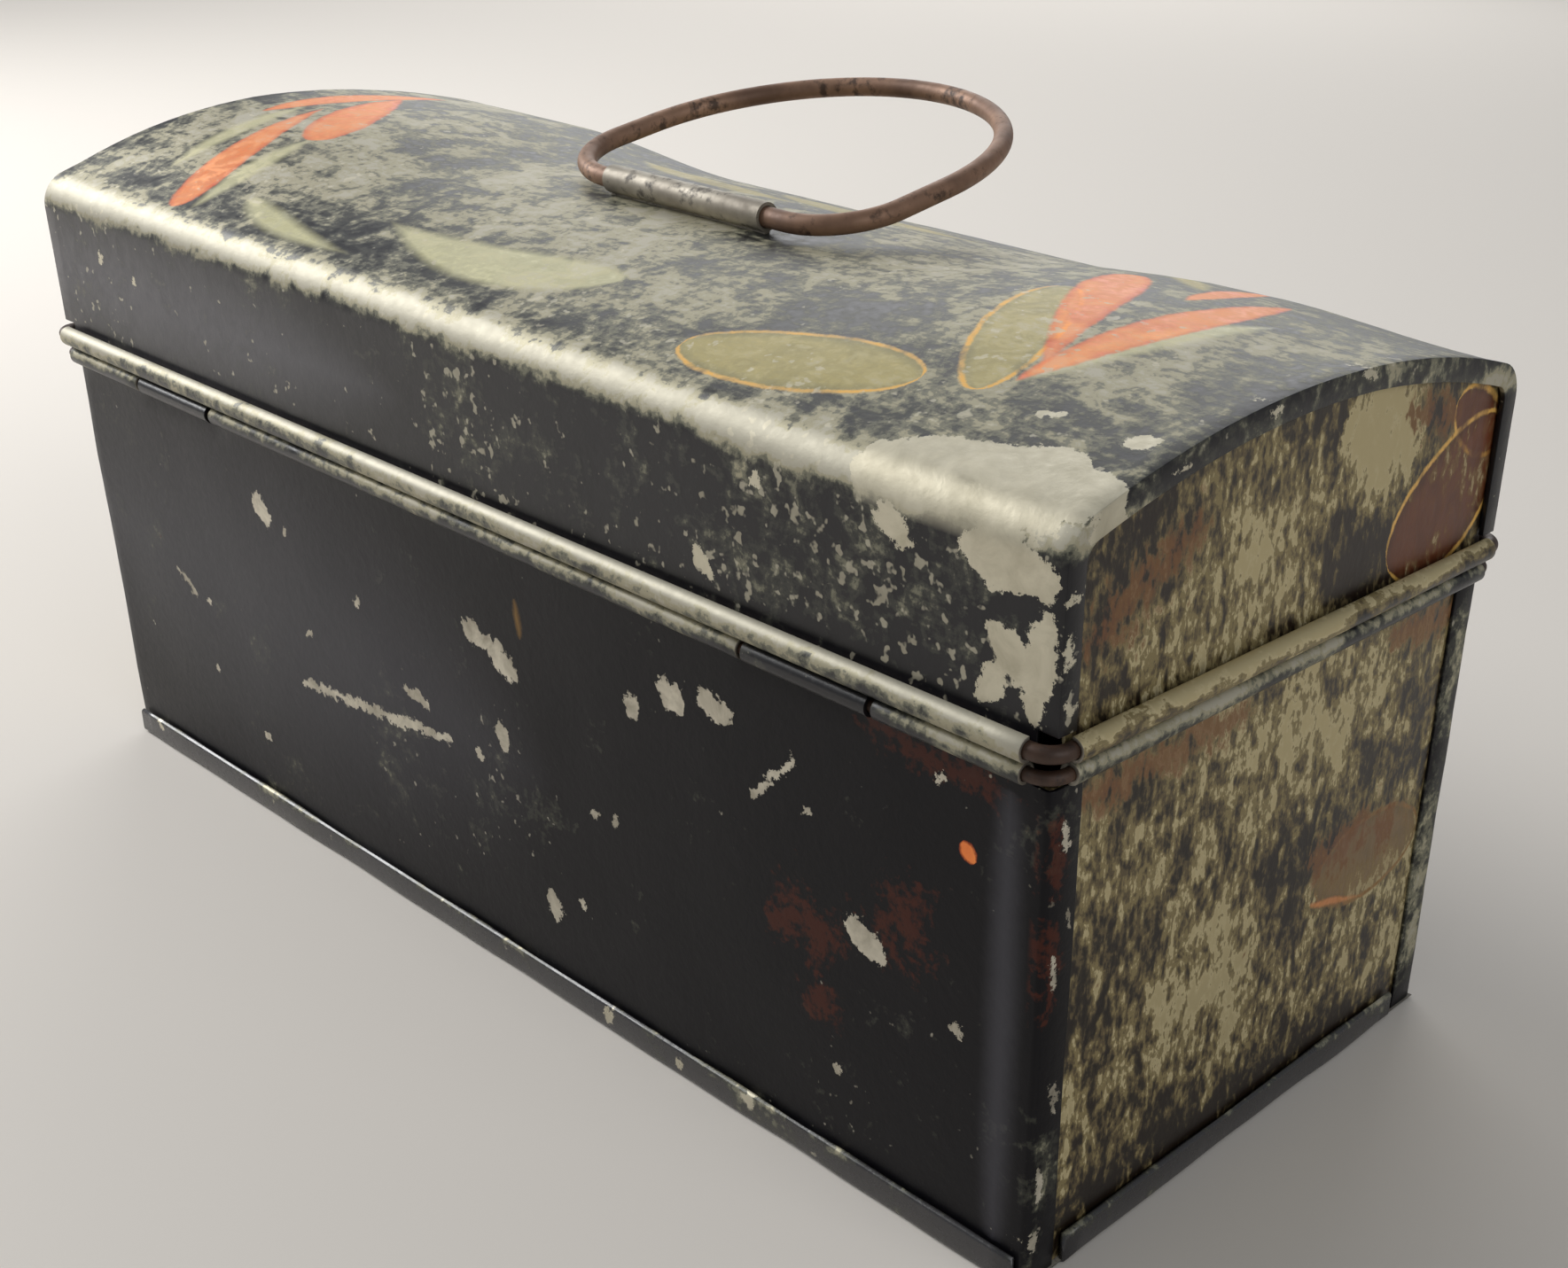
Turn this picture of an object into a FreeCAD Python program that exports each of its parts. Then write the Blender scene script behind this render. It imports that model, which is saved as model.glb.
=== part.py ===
import FreeCAD, Part
import math
import os
from collections import namedtuple

import Sketcher

# Dome-top tin box with wired rims, a ring handle and a hasp.
# Frame: +Z up, origin on the floor under the middle of the body, length along X,
# hinges at the rear (+Y) and hasp at the front (-Y). Millimetres and degrees.

SIZES = [
    ("body_length", "230", "length over the body walls"),
    ("body_width", "96", "width over the body walls"),
    ("rim_height", "75", "centre of the body rim wire above the floor"),
    ("sheet_thick", "0.5", "tinplate thickness"),
    ("corner_bend", "1.2", "outer radius of the upright bends"),
    ("corner_lap", "6", "fold of the long walls over the ends"),
    ("end_flange", "6", "flange of the ends behind the long walls"),
    ("body_wire", "1.8", "diameter of the body rim wire"),
    ("lid_wire", "2.2", "diameter of the lid rim wire"),
    ("wire_play", "0.05", "radial play of the rolled edges on their wires"),
    ("pivot_play", "0.1", "radial play of everything that turns on a wire"),
    ("wire_corner", "3", "corner radius of the rim wires at their centre"),
    ("curl_wrap", "280", "angle that a rolled edge goes round its wire"),
    ("curl_inset", "0.5", "rolled edge stops short of the wire's corner by this"),
    ("corner_drop", "2", "walls are cut back from the rim wire at the corners"),
    ("rim_gap", "0.4", "gap between the two rolled rims of the shut box"),
    ("base_rim_high", "5", "height of the folded rim of the bottom"),
    ("base_rim_thick", "1.2", "thickness of the folded rim of the bottom"),
    ("base_rim_round", "0.9", "rounding of the folded rim of the bottom"),
    ("base_rim_short", "1.5", "folded rim stops short of the corners by this"),
    ("lid_depth", "33.5", "crown above the lid rim wire"),
    ("dome_radius", "160", "outer radius of the dome"),
    ("eave_bend", "6", "outer radius of the bend from dome to lid wall"),
    ("lid_fold", "1", "thickness of the folded edge over the lid ends"),
    ("lid_fold_wide", "3.5", "width of the folded edge over the lid ends"),
    ("lid_flange", "4", "flange of the lid ends under the dome"),
    ("hinge_inset", "38.5", "middle of a hinge notch from the end of the body"),
    ("hinge_notch", "24", "width of a hinge notch"),
    ("strap_side_play", "1", "room at each side of a hinge strap in its notch"),
    ("strap_leaf", "16", "height of a hinge strap above the rim wire"),
    ("notch_drop", "2.3", "walls are cut back from the wire in a notch"),
    ("handle_offset", "2", "handle is set this far from the middle"),
    ("handle_wire", "3.1", "diameter of the handle wire"),
    ("tube_length", "36", "length of the rolled tube of the handle"),
    ("slot_play", "0.3", "play of the handle strap in the dome's slot"),
    ("strap_tab", "8", "reach of the handle strap's tabs inside the lid"),
    ("tab_gap", "0.05", "solder film between the tabs and the dome"),
    ("ring_span", "68", "width of the handle ring at the wire's centre"),
    ("ring_reach", "56", "depth of the handle ring at the wire's centre"),
    ("ring_bend_right", "14.5", "bend of the ring beside the tube, +X side"),
    ("ring_bend_left", "12", "bend of the ring beside the tube, -X side"),
    ("ring_joint", "0.6", "gap between the wire's ends in the tube"),
    ("ring_tilt", "11", "ring at rest above the level, towards the front"),
    ("hasp_width", "18", "width of the hasp"),
    ("hasp_length", "34", "length of the hasp below the rim wire"),
    ("hasp_side_play", "1", "room at each side of the hasp in its notch"),
    ("hasp_slot_wide", "5", "width of the hasp's slot"),
    ("hasp_slot_top", "11", "top of the slot below the rim wire"),
    ("hasp_slot_long", "15", "length of the slot"),
    ("hasp_rest_gap", "0.4", "gap from the leaning hasp to the staple's nose"),
    ("staple_wire", "2", "diameter of the staple wire"),
    ("staple_rise", "8", "distance between the staple's legs"),
    ("staple_reach", "9", "staple's nose in front of the wall at the wire's centre"),
    ("staple_drop", "18", "staple below the lid rim wire"),
    ("staple_bend", "1.2", "bend of the staple's clinched legs"),
    ("staple_clinch", "6", "length of a clinched leg inside the wall"),
]

# Places that follow from the sizes, each a formula of the sheet's own cells.
PLACES = [
    ("half_x", "Sizes.body_length / 2"),
    ("half_y", "Sizes.body_width / 2"),
    ("wall_x", "half_x - Sizes.sheet_thick"),
    ("hinge_x", "half_x - Sizes.hinge_inset"),
    ("body_in", "Sizes.body_wire / 2 + Sizes.wire_play"),
    ("lid_in", "Sizes.lid_wire / 2 + Sizes.wire_play"),
    ("strap_in", "Sizes.body_wire / 2 + Sizes.pivot_play"),
    ("hasp_in", "Sizes.lid_wire / 2 + Sizes.pivot_play"),
    ("tube_in", "Sizes.handle_wire / 2 + Sizes.pivot_play"),
    ("tube_out", "tube_in + Sizes.sheet_thick"),
    ("body_wire_y", "half_y + body_in"),
    ("body_wire_x", "wall_x + body_in"),
    ("strap_face", "body_wire_y - strap_in"),
    ("lid_y", "strap_face + Sizes.sheet_thick"),
    ("lid_wire_y", "lid_y + lid_in"),
    ("lid_wire_x", "body_wire_x + lid_wire_y - body_wire_y"),
    ("lid_end_x", "lid_wire_x - lid_in"),
    ("lid_x", "lid_end_x + Sizes.lid_fold"),
    ("rim_spacing", "body_in + lid_in + 2 * Sizes.sheet_thick + Sizes.rim_gap"),
    ("lid_wire_z", "Sizes.rim_height + sqrt(rim_spacing ^ 2 - (lid_wire_y - body_wire_y) ^ 2)"),
    ("body_cut_z", "Sizes.rim_height - Sizes.corner_drop"),
    ("lid_cut_z", "lid_wire_z + Sizes.corner_drop"),
    ("crown_z", "lid_wire_z + Sizes.lid_depth"),
    ("dome_z", "crown_z - Sizes.dome_radius"),
    ("bend_y", "lid_y - Sizes.eave_bend"),
    ("bend_far", "Sizes.dome_radius - Sizes.eave_bend"),
    ("bend_z", "dome_z + sqrt(bend_far ^ 2 - bend_y ^ 2)"),
    ("tube_z", "crown_z + tube_out"),
    ("staple_z", "lid_wire_z - Sizes.staple_drop"),
    ("staple_leg_y", "Sizes.sheet_thick + Sizes.staple_bend - half_y"),
    ("nose_y", "Sizes.staple_rise / 2 - half_y - Sizes.staple_reach"),
    ("nose_run", "sqrt((lid_wire_y + nose_y) ^ 2 + Sizes.staple_drop ^ 2)"),
    ("nose_round", "(Sizes.staple_rise + Sizes.staple_wire) / 2 + Sizes.hasp_rest_gap"),
    ("nose_lean", "atan((lid_wire_y + nose_y) / Sizes.staple_drop)"),
    ("hasp_lean", "asin((nose_round - hasp_in) / nose_run) - nose_lean"),
    ("long_curl", "2 * (body_wire_x - Sizes.wire_corner - Sizes.curl_inset)"),
    ("short_curl", "2 * (body_wire_y - Sizes.wire_corner - Sizes.curl_inset)"),
    ("lid_long_curl", "2 * (lid_wire_x - Sizes.wire_corner - Sizes.curl_inset)"),
    ("lid_short_curl", "2 * (lid_wire_y - Sizes.wire_corner - Sizes.curl_inset)"),
    ("ring_half", "Sizes.ring_span / 2"),
    ("ring_centre", "Sizes.ring_reach - Sizes.ring_span / 2"),
]

Corner = namedtuple("Corner", "across up arc")
Arc = namedtuple("Arc", "across up turn")
LEFT_TURN = 1
RIGHT_TURN = -1

doc = FreeCAD.newDocument("TinBox")


def make_sheets():
    """Fill the sheet of driving sizes and the sheet of places that follow from them."""
    sizes = doc.addObject("Spreadsheet::Sheet", "Sizes")
    for row, (alias, value, meaning) in enumerate(SIZES, start=1):
        sizes.set(f"A{row}", meaning)
        sizes.set(f"B{row}", value)
        sizes.setAlias(f"B{row}", alias)
    doc.recompute()
    places = doc.addObject("Spreadsheet::Sheet", "Places")
    for row, (alias, formula) in enumerate(PLACES, start=1):
        places.set(f"B{row}", "=" + formula)
        places.setAlias(f"B{row}", alias)
        doc.recompute()
    return places


places = make_sheets()


def number(formula):
    """Value of a formula now, for the first guess of a sketch."""
    value = places.evalExpression(formula)
    return float(getattr(value, "Value", value))


def corner(across, up, arc=None):
    """Corner of an outline; arc is the arc that leaves it, or None for a straight edge."""
    return Corner(across, up, arc)


def mirrored(outline):
    """The same outline on the other side of the sketch's upright axis."""
    flipped = []
    for point in outline:
        arc = point.arc
        if arc:
            arc = Arc(f"-({arc.across})", arc.up, -arc.turn)
        flipped.append(Corner(f"-({point.across})", point.up, arc))
    return flipped


def new_body(label):
    body = doc.addObject("PartDesign::Body", label)
    body.Label = label
    return body


def new_sketch(body, plane, offset=None):
    """Sketch on one of the body's own origin planes, moved along its normal by offset."""
    sketch = body.newObject("Sketcher::SketchObject", f"{body.Name}_sketch")
    support = [item for item in body.Origin.OriginFeatures if item.Role == plane][0]
    sketch.AttachmentSupport = [(support, "")]
    sketch.MapMode = "FlatFace"
    if offset:
        sketch.setExpression("AttachmentOffset.Base.z", offset)
    return sketch


def hold(sketch, kind, geometry, end, formula):
    """Hold a point of the sketch at a distance from the sketch's origin."""
    index = sketch.addConstraint(Sketcher.Constraint(kind, -1, 1, geometry, end, number(formula)))
    sketch.setExpression(f"Constraints[{index}]", formula)


def fix_point(sketch, geometry, end, across, up):
    """Hold a point of the sketch at two formulas."""
    hold(sketch, "DistanceX", geometry, end, across)
    hold(sketch, "DistanceY", geometry, end, up)


def draw(sketch, outline, is_closed=True):
    """Draw an outline of lines and arcs with every corner and radius bound to its formula."""
    count = len(outline)
    edges = count if is_closed else count - 1
    spots = [FreeCAD.Vector(number(point.across), number(point.up), 0) for point in outline]
    ends = []
    for index in range(edges):
        start = spots[index]
        stop = spots[(index + 1) % count]
        arc = outline[index].arc
        if arc is None:
            ends.append((sketch.addGeometry(Part.LineSegment(start, stop), False), 1, 2))
            continue
        centre = FreeCAD.Vector(number(arc.across), number(arc.up), 0)
        circle = Part.Circle(centre, FreeCAD.Vector(0, 0, 1), (start - centre).Length)
        angles = [math.atan2(spot.y - centre.y, spot.x - centre.x) for spot in (start, stop)]
        if arc.turn == LEFT_TURN:
            curve = sketch.addGeometry(Part.ArcOfCircle(circle, angles[0], angles[1]), False)
            ends.append((curve, 1, 2))
        else:
            curve = sketch.addGeometry(Part.ArcOfCircle(circle, angles[1], angles[0]), False)
            ends.append((curve, 2, 1))
    for index in range(edges if is_closed else edges - 1):
        here = ends[index]
        following = ends[(index + 1) % edges]
        sketch.addConstraint(Sketcher.Constraint("Coincident", here[0], here[2], following[0], following[1]))
    for index in range(edges):
        fix_point(sketch, ends[index][0], ends[index][1], outline[index].across, outline[index].up)
    if not is_closed:
        fix_point(sketch, ends[-1][0], ends[-1][2], outline[-1].across, outline[-1].up)
    for index in range(edges):
        arc = outline[index].arc
        if arc:
            chord = spots[(index + 1) % count] - spots[index]
            is_upright = abs(chord.y) > abs(chord.x)
            hold(sketch, "DistanceX" if is_upright else "DistanceY", ends[index][0], 3,
                 arc.across if is_upright else arc.up)


def draw_circle(sketch, across, up, radius):
    centre = FreeCAD.Vector(number(across), number(up), 0)
    circle = Part.Circle(centre, FreeCAD.Vector(0, 0, 1), number(radius))
    geometry = sketch.addGeometry(circle, False)
    fix_point(sketch, geometry, 3, across, up)
    held = sketch.addConstraint(Sketcher.Constraint("Radius", geometry, number(radius)))
    sketch.setExpression(f"Constraints[{held}]", radius)


def rectangle(left, low, right, high):
    return [corner(left, low), corner(right, low), corner(right, high), corner(left, high)]


def pad(body, sketch, length, is_middle=False):
    """Raise a sketch along its normal, or to both sides of its plane."""
    feature = body.newObject("PartDesign::Pad", f"{body.Name}_pad")
    feature.Profile = sketch
    feature.SideType = "Symmetric" if is_middle else "One side"
    feature.setExpression("Length", length)
    doc.recompute()
    return feature


def cut_through(body, sketch, is_along_normal):
    """Cut a sketch through the piece on one side of its plane, and see that something went."""
    before = body.Shape.Volume
    feature = body.newObject("PartDesign::Pocket", f"{body.Name}_cut")
    feature.Profile = sketch
    feature.Type = "ThroughAll"
    feature.Reversed = is_along_normal
    doc.recompute()
    if not body.Shape.Volume < before:
        raise RuntimeError(f"{body.Label}: a cut took nothing away")
    return feature


def pipe(body, section, path):
    feature = body.newObject("PartDesign::AdditivePipe", f"{body.Name}_pipe")
    feature.Profile = section
    feature.Spine = (path, [])
    doc.recompute()
    return feature


def curl_over(across, up, inner, wall_end):
    """Rolled edge on top of a wall: the wall stands on the low side and curls over its wire."""
    outer = f"({inner} + Sizes.sheet_thick)"
    lip = "(180 - Sizes.curl_wrap)"
    return [
        corner(f"{across} - {outer}", wall_end),
        corner(f"{across} - {outer}", up, Arc(across, up, RIGHT_TURN)),
        corner(f"{across} + {outer} * cos({lip})", f"{up} + {outer} * sin({lip})"),
        corner(f"{across} + {inner} * cos({lip})", f"{up} + {inner} * sin({lip})",
               Arc(across, up, LEFT_TURN)),
        corner(f"{across} - {inner}", up),
        corner(f"{across} - {inner}", wall_end),
    ]


def curl_under(across, up, inner, wall_end):
    """Rolled edge below a wall: the wall hangs on the low side and curls under its wire."""
    outer = f"({inner} + Sizes.sheet_thick)"
    lip = "(Sizes.curl_wrap - 180)"
    return [
        corner(f"{across} - {outer}", wall_end),
        corner(f"{across} - {outer}", up, Arc(across, up, LEFT_TURN)),
        corner(f"{across} + {outer} * cos({lip})", f"{up} + {outer} * sin({lip})"),
        corner(f"{across} + {inner} * cos({lip})", f"{up} + {inner} * sin({lip})",
               Arc(across, up, RIGHT_TURN)),
        corner(f"{across} - {inner}", up),
        corner(f"{across} - {inner}", wall_end),
    ]


def dome_points(inset):
    """Right-hand corners of the lid's section, set in from its outer face by a formula."""
    share = f"((Sizes.dome_radius - {inset}) / Places.bend_far)"
    tangent_y = f"Places.bend_y * {share}"
    tangent_z = f"Places.dome_z + (Places.bend_z - Places.dome_z) * {share}"
    return f"Places.lid_y - {inset}", tangent_y, tangent_z


def dome_edge(inset, turn):
    """Corners of the lid's section from wall to wall over the dome, set in by a formula.

    A left turn runs from the rear wall to the front one, a right turn the other way.
    """
    wall, tangent_y, tangent_z = dome_points(inset)
    side = "" if turn == LEFT_TURN else "-"
    far = "-" if turn == LEFT_TURN else ""
    bend = f"Sizes.eave_bend - {inset}"
    dome = f"Sizes.dome_radius - {inset}"
    return [
        corner(f"{side}({wall})", "Places.lid_cut_z"),
        corner(f"{side}({wall})", "Places.bend_z", Arc(f"{side}Places.bend_y", "Places.bend_z", turn)),
        corner(f"{side}({tangent_y})", tangent_z, Arc("0", "Places.dome_z", turn)),
        corner(f"{far}({tangent_y})", tangent_z, Arc(f"{far}Places.bend_y", "Places.bend_z", turn)),
        corner(f"{far}({wall})", "Places.bend_z"),
        corner(f"{far}({wall})", "Places.lid_cut_z"),
    ]


def dome_band(outer_inset, inner_inset):
    """Section of a band that follows the lid's section."""
    return dome_edge(outer_inset, LEFT_TURN) + dome_edge(inner_inset, RIGHT_TURN)


def wall_plan():
    """Plan of the rear panel: the wall and its two folds over the ends."""
    inner = "(Sizes.corner_bend - Sizes.sheet_thick)"
    bend_x = "(Places.half_x - Sizes.corner_bend)"
    bend_y = "(Places.half_y - Sizes.corner_bend)"
    lap_y = "Places.half_y - Sizes.corner_lap"
    inside_y = "Places.half_y - Sizes.sheet_thick"
    bend = "Sizes.corner_bend"
    return [
        corner("-Places.half_x", lap_y),
        corner("-Places.half_x", bend_y, Arc(f"-{bend_x}", bend_y, RIGHT_TURN)),
        corner(f"-{bend_x}", "Places.half_y"),
        corner(bend_x, "Places.half_y", Arc(bend_x, bend_y, RIGHT_TURN)),
        corner("Places.half_x", bend_y),
        corner("Places.half_x", lap_y),
        corner("Places.wall_x", lap_y),
        corner("Places.wall_x", bend_y, Arc(bend_x, bend_y, LEFT_TURN)),
        corner(bend_x, inside_y),
        corner(f"-{bend_x}", inside_y, Arc(f"-{bend_x}", bend_y, LEFT_TURN)),
        corner("-Places.wall_x", bend_y),
        corner("-Places.wall_x", lap_y),
    ]


def end_plan():
    """Plan of the right end: the wall and its two flanges behind the long walls."""
    outer = "(Sizes.corner_bend - Sizes.sheet_thick)"
    inner = "(Sizes.corner_bend - 2 * Sizes.sheet_thick)"
    bend_x = "(Places.half_x - Sizes.corner_bend)"
    bend_y = "(Places.half_y - Sizes.corner_bend)"
    face_y = "(Places.half_y - Sizes.sheet_thick)"
    back_y = "(Places.half_y - 2 * Sizes.sheet_thick)"
    back_x = "Places.half_x - 2 * Sizes.sheet_thick"
    flange_x = "Places.wall_x - Sizes.end_flange"
    return [
        corner(flange_x, f"-{face_y}"),
        corner(bend_x, f"-{face_y}", Arc(bend_x, f"-{bend_y}", LEFT_TURN)),
        corner("Places.wall_x", f"-{bend_y}"),
        corner("Places.wall_x", bend_y, Arc(bend_x, bend_y, LEFT_TURN)),
        corner(bend_x, face_y),
        corner(flange_x, face_y),
        corner(flange_x, back_y),
        corner(bend_x, back_y, Arc(bend_x, bend_y, RIGHT_TURN)),
        corner(back_x, bend_y),
        corner(back_x, f"-{bend_y}", Arc(bend_x, f"-{bend_y}", RIGHT_TURN)),
        corner(bend_x, f"-{back_y}"),
        corner(flange_x, f"-{back_y}"),
    ]


def upended(outline):
    """The same plan on the other side of the X axis."""
    flipped = []
    for point in outline:
        arc = point.arc
        if arc:
            arc = Arc(arc.across, f"-({arc.up})", -arc.turn)
        flipped.append(Corner(point.across, f"-({point.up})", arc))
    return flipped


def raise_wall(body, plan):
    """Stand a wall's plan on the bottom, up to where the rim's corners are cut back."""
    sketch = new_sketch(body, "XY_Plane", "Sizes.sheet_thick")
    draw(sketch, plan)
    pad(body, sketch, "Places.body_cut_z - Sizes.sheet_thick")


def make_rear_panel():
    """Rear wall with its folds, rolled rim and two hinge notches."""
    body = new_body("body_rear_panel")
    raise_wall(body, wall_plan())
    rim = new_sketch(body, "YZ_Plane")
    draw(rim, curl_over("Places.body_wire_y", "Sizes.rim_height", "Places.body_in", "Places.body_cut_z"))
    pad(body, rim, "Places.long_curl", is_middle=True)
    notches = new_sketch(body, "XZ_Plane")
    low = "Sizes.rim_height - Sizes.notch_drop"
    high = "Sizes.rim_height + Sizes.notch_drop"
    near = "Places.hinge_x - Sizes.hinge_notch / 2"
    far = "Places.hinge_x + Sizes.hinge_notch / 2"
    draw(notches, rectangle(near, low, far, high))
    draw(notches, mirrored(rectangle(near, low, far, high)))
    cut_through(body, notches, is_along_normal=False)
    return body


def make_front_panel():
    """Front wall with its folds, rolled rim and the staple's holes."""
    body = new_body("body_front_panel")
    raise_wall(body, upended(wall_plan()))
    rim = new_sketch(body, "YZ_Plane")
    curl = curl_over("Places.body_wire_y", "Sizes.rim_height", "Places.body_in", "Places.body_cut_z")
    draw(rim, mirrored(curl))
    pad(body, rim, "Places.long_curl", is_middle=True)
    holes = new_sketch(body, "XZ_Plane")
    for side in ("+", "-"):
        up = f"Places.staple_z {side} Sizes.staple_rise / 2"
        draw_circle(holes, "0", up, "Sizes.staple_wire / 2 + Sizes.wire_play")
    cut_through(body, holes, is_along_normal=True)
    return body


def make_body_end(label, is_right):
    """End wall with its flanges and rolled rim."""
    body = new_body(label)
    plan = end_plan()
    curl = curl_over("Places.body_wire_x", "Sizes.rim_height", "Places.body_in", "Places.body_cut_z")
    raise_wall(body, plan if is_right else mirrored(plan))
    rim = new_sketch(body, "XZ_Plane")
    draw(rim, curl if is_right else mirrored(curl))
    pad(body, rim, "Places.short_curl", is_middle=True)
    return body


def rim_section(face):
    """Section of the bottom's folded rim, from the wall's outer face."""
    edge = f"({face} + Sizes.base_rim_thick)"
    soft = f"({edge} - Sizes.base_rim_round)"
    top_soft = "Sizes.base_rim_high - Sizes.base_rim_round"
    return [
        corner(face, "0"),
        corner(soft, "0", Arc(soft, "Sizes.base_rim_round", LEFT_TURN)),
        corner(edge, "Sizes.base_rim_round"),
        corner(edge, top_soft, Arc(soft, top_soft, LEFT_TURN)),
        corner(soft, "Sizes.base_rim_high"),
        corner(face, "Sizes.base_rim_high"),
    ]


def make_bottom():
    """Bottom plate with folded rims outside the walls."""
    body = new_body("body_bottom")
    plate = new_sketch(body, "XY_Plane")
    draw(plate, rectangle("-Places.half_x", "-Places.half_y", "Places.half_x", "Places.half_y"))
    pad(body, plate, "Sizes.sheet_thick")
    long_rims = new_sketch(body, "YZ_Plane")
    draw(long_rims, rim_section("Places.half_y"))
    draw(long_rims, mirrored(rim_section("Places.half_y")))
    pad(body, long_rims, "Sizes.body_length - 2 * Sizes.base_rim_short", is_middle=True)
    short_rims = new_sketch(body, "XZ_Plane")
    draw(short_rims, rim_section("Places.wall_x"))
    draw(short_rims, mirrored(rim_section("Places.wall_x")))
    short = "Sizes.body_width - 2 * (Sizes.corner_lap + Sizes.base_rim_short)"
    pad(body, short_rims, short, is_middle=True)
    return body


def make_rim_wire(label, half_x, half_y, height, diameter):
    """Closed wire round a rim, with rounded corners."""
    body = new_body(label)
    bend = "Sizes.wire_corner"
    near_x = f"({half_x} - {bend})"
    near_y = f"({half_y} - {bend})"
    path = new_sketch(body, "XY_Plane", height)
    draw(path, [
        corner("0", f"-{half_y}"),
        corner(near_x, f"-{half_y}", Arc(near_x, f"-{near_y}", LEFT_TURN)),
        corner(half_x, f"-{near_y}"),
        corner(half_x, near_y, Arc(near_x, near_y, LEFT_TURN)),
        corner(near_x, half_y),
        corner(f"-{near_x}", half_y, Arc(f"-{near_x}", near_y, LEFT_TURN)),
        corner(f"-{half_x}", near_y),
        corner(f"-{half_x}", f"-{near_y}", Arc(f"-{near_x}", f"-{near_y}", LEFT_TURN)),
        corner(f"-{near_x}", f"-{half_y}"),
    ])
    section = new_sketch(body, "YZ_Plane")
    draw_circle(section, f"-{half_y}", height, f"{diameter} / 2")
    pipe(body, section, path)
    return body


def make_staple():
    """Wire loop through the front wall, its two legs clinched inside."""
    body = new_body("hasp_staple")
    leg = "Places.staple_leg_y"
    bend = "Sizes.staple_bend"
    half = "Sizes.staple_rise / 2"
    top = f"(Places.staple_z + {half})"
    low = f"(Places.staple_z - {half})"
    turn_y = f"{leg} - {bend}"
    path = new_sketch(body, "YZ_Plane")
    draw(path, [
        corner(leg, f"{top} + Sizes.staple_clinch"),
        corner(leg, f"{top} + {bend}", Arc(turn_y, f"{top} + {bend}", RIGHT_TURN)),
        corner(turn_y, top),
        corner("Places.nose_y", top, Arc("Places.nose_y", "Places.staple_z", LEFT_TURN)),
        corner("Places.nose_y", low),
        corner(turn_y, low, Arc(turn_y, f"{low} - {bend}", RIGHT_TURN)),
        corner(leg, f"{low} - {bend}"),
        corner(leg, f"{low} - Sizes.staple_clinch"),
    ], is_closed=False)
    section = new_sketch(body, "XY_Plane", f"{top} + Sizes.staple_clinch")
    draw_circle(section, "0", leg, "Sizes.staple_wire / 2")
    pipe(body, section, path)
    return body


def make_lid_top():
    """Dome and long walls in one sheet, rolled at both rims and folded over both ends."""
    body = new_body("lid_top")
    section = new_sketch(body, "YZ_Plane")
    draw(section, dome_band("0", "Sizes.sheet_thick"))
    pad(body, section, "2 * Places.lid_x", is_middle=True)
    rims = new_sketch(body, "YZ_Plane")
    curl = curl_under("Places.lid_wire_y", "Places.lid_wire_z", "Places.lid_in", "Places.lid_cut_z")
    draw(rims, curl)
    draw(rims, mirrored(curl))
    pad(body, rims, "Places.lid_long_curl", is_middle=True)
    for start in ("Places.lid_end_x", "-Places.lid_x"):
        fold = new_sketch(body, "YZ_Plane", start)
        draw(fold, dome_band("0", "Sizes.lid_fold_wide"))
        pad(body, fold, "Sizes.lid_fold")
    slot = new_sketch(body, "XY_Plane")
    reach = "(Sizes.tube_length / 2 + Sizes.slot_play)"
    side = "(Sizes.sheet_thick + Sizes.slot_play)"
    offset = "Sizes.handle_offset"
    draw(slot, rectangle(f"{offset} - {reach}", f"-{side}", f"{offset} + {reach}", side))
    cut_through(body, slot, is_along_normal=True)
    notch = new_sketch(body, "XZ_Plane")
    half = "(Sizes.hasp_width / 2 + Sizes.hasp_side_play)"
    low = "Places.lid_wire_z - Sizes.notch_drop"
    high = "Places.lid_wire_z + Sizes.notch_drop"
    draw(notch, rectangle(f"-{half}", low, half, high))
    cut_through(body, notch, is_along_normal=True)
    return body


def make_lid_end(label, is_right):
    """Arched end plate with a flange under the dome and a rolled rim."""
    body = new_body(label)
    thick = "Sizes.sheet_thick"
    plate_at = f"Places.lid_end_x - {thick}" if is_right else "-Places.lid_end_x"
    flange_at = f"{plate_at} - Sizes.lid_flange" if is_right else f"{thick} - Places.lid_end_x"
    plate = new_sketch(body, "YZ_Plane", plate_at)
    draw(plate, dome_edge(thick, LEFT_TURN))
    pad(body, plate, thick)
    flange = new_sketch(body, "YZ_Plane", flange_at)
    draw(flange, dome_band(thick, f"2 * {thick}"))
    pad(body, flange, "Sizes.lid_flange")
    rim = new_sketch(body, "XZ_Plane")
    curl = curl_under("Places.lid_wire_x", "Places.lid_wire_z", "Places.lid_in", "Places.lid_cut_z")
    draw(rim, curl if is_right else mirrored(curl))
    pad(body, rim, "Places.lid_short_curl", is_middle=True)
    return body


def make_hinge_strap(label, side):
    """Tin strap round the body's rim wire, its leaf flat against the lid's rear wall."""
    body = new_body(label)
    section = new_sketch(body, "YZ_Plane")
    leaf_top = "Sizes.rim_height + Sizes.strap_leaf"
    draw(section, curl_under("Places.body_wire_y", "Sizes.rim_height", "Places.strap_in", leaf_top))
    pad(body, section, "Sizes.hinge_notch - 2 * Sizes.strap_side_play", is_middle=True)
    body.setExpression("Placement.Base.x", f"{side}Places.hinge_x")
    return body


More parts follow.
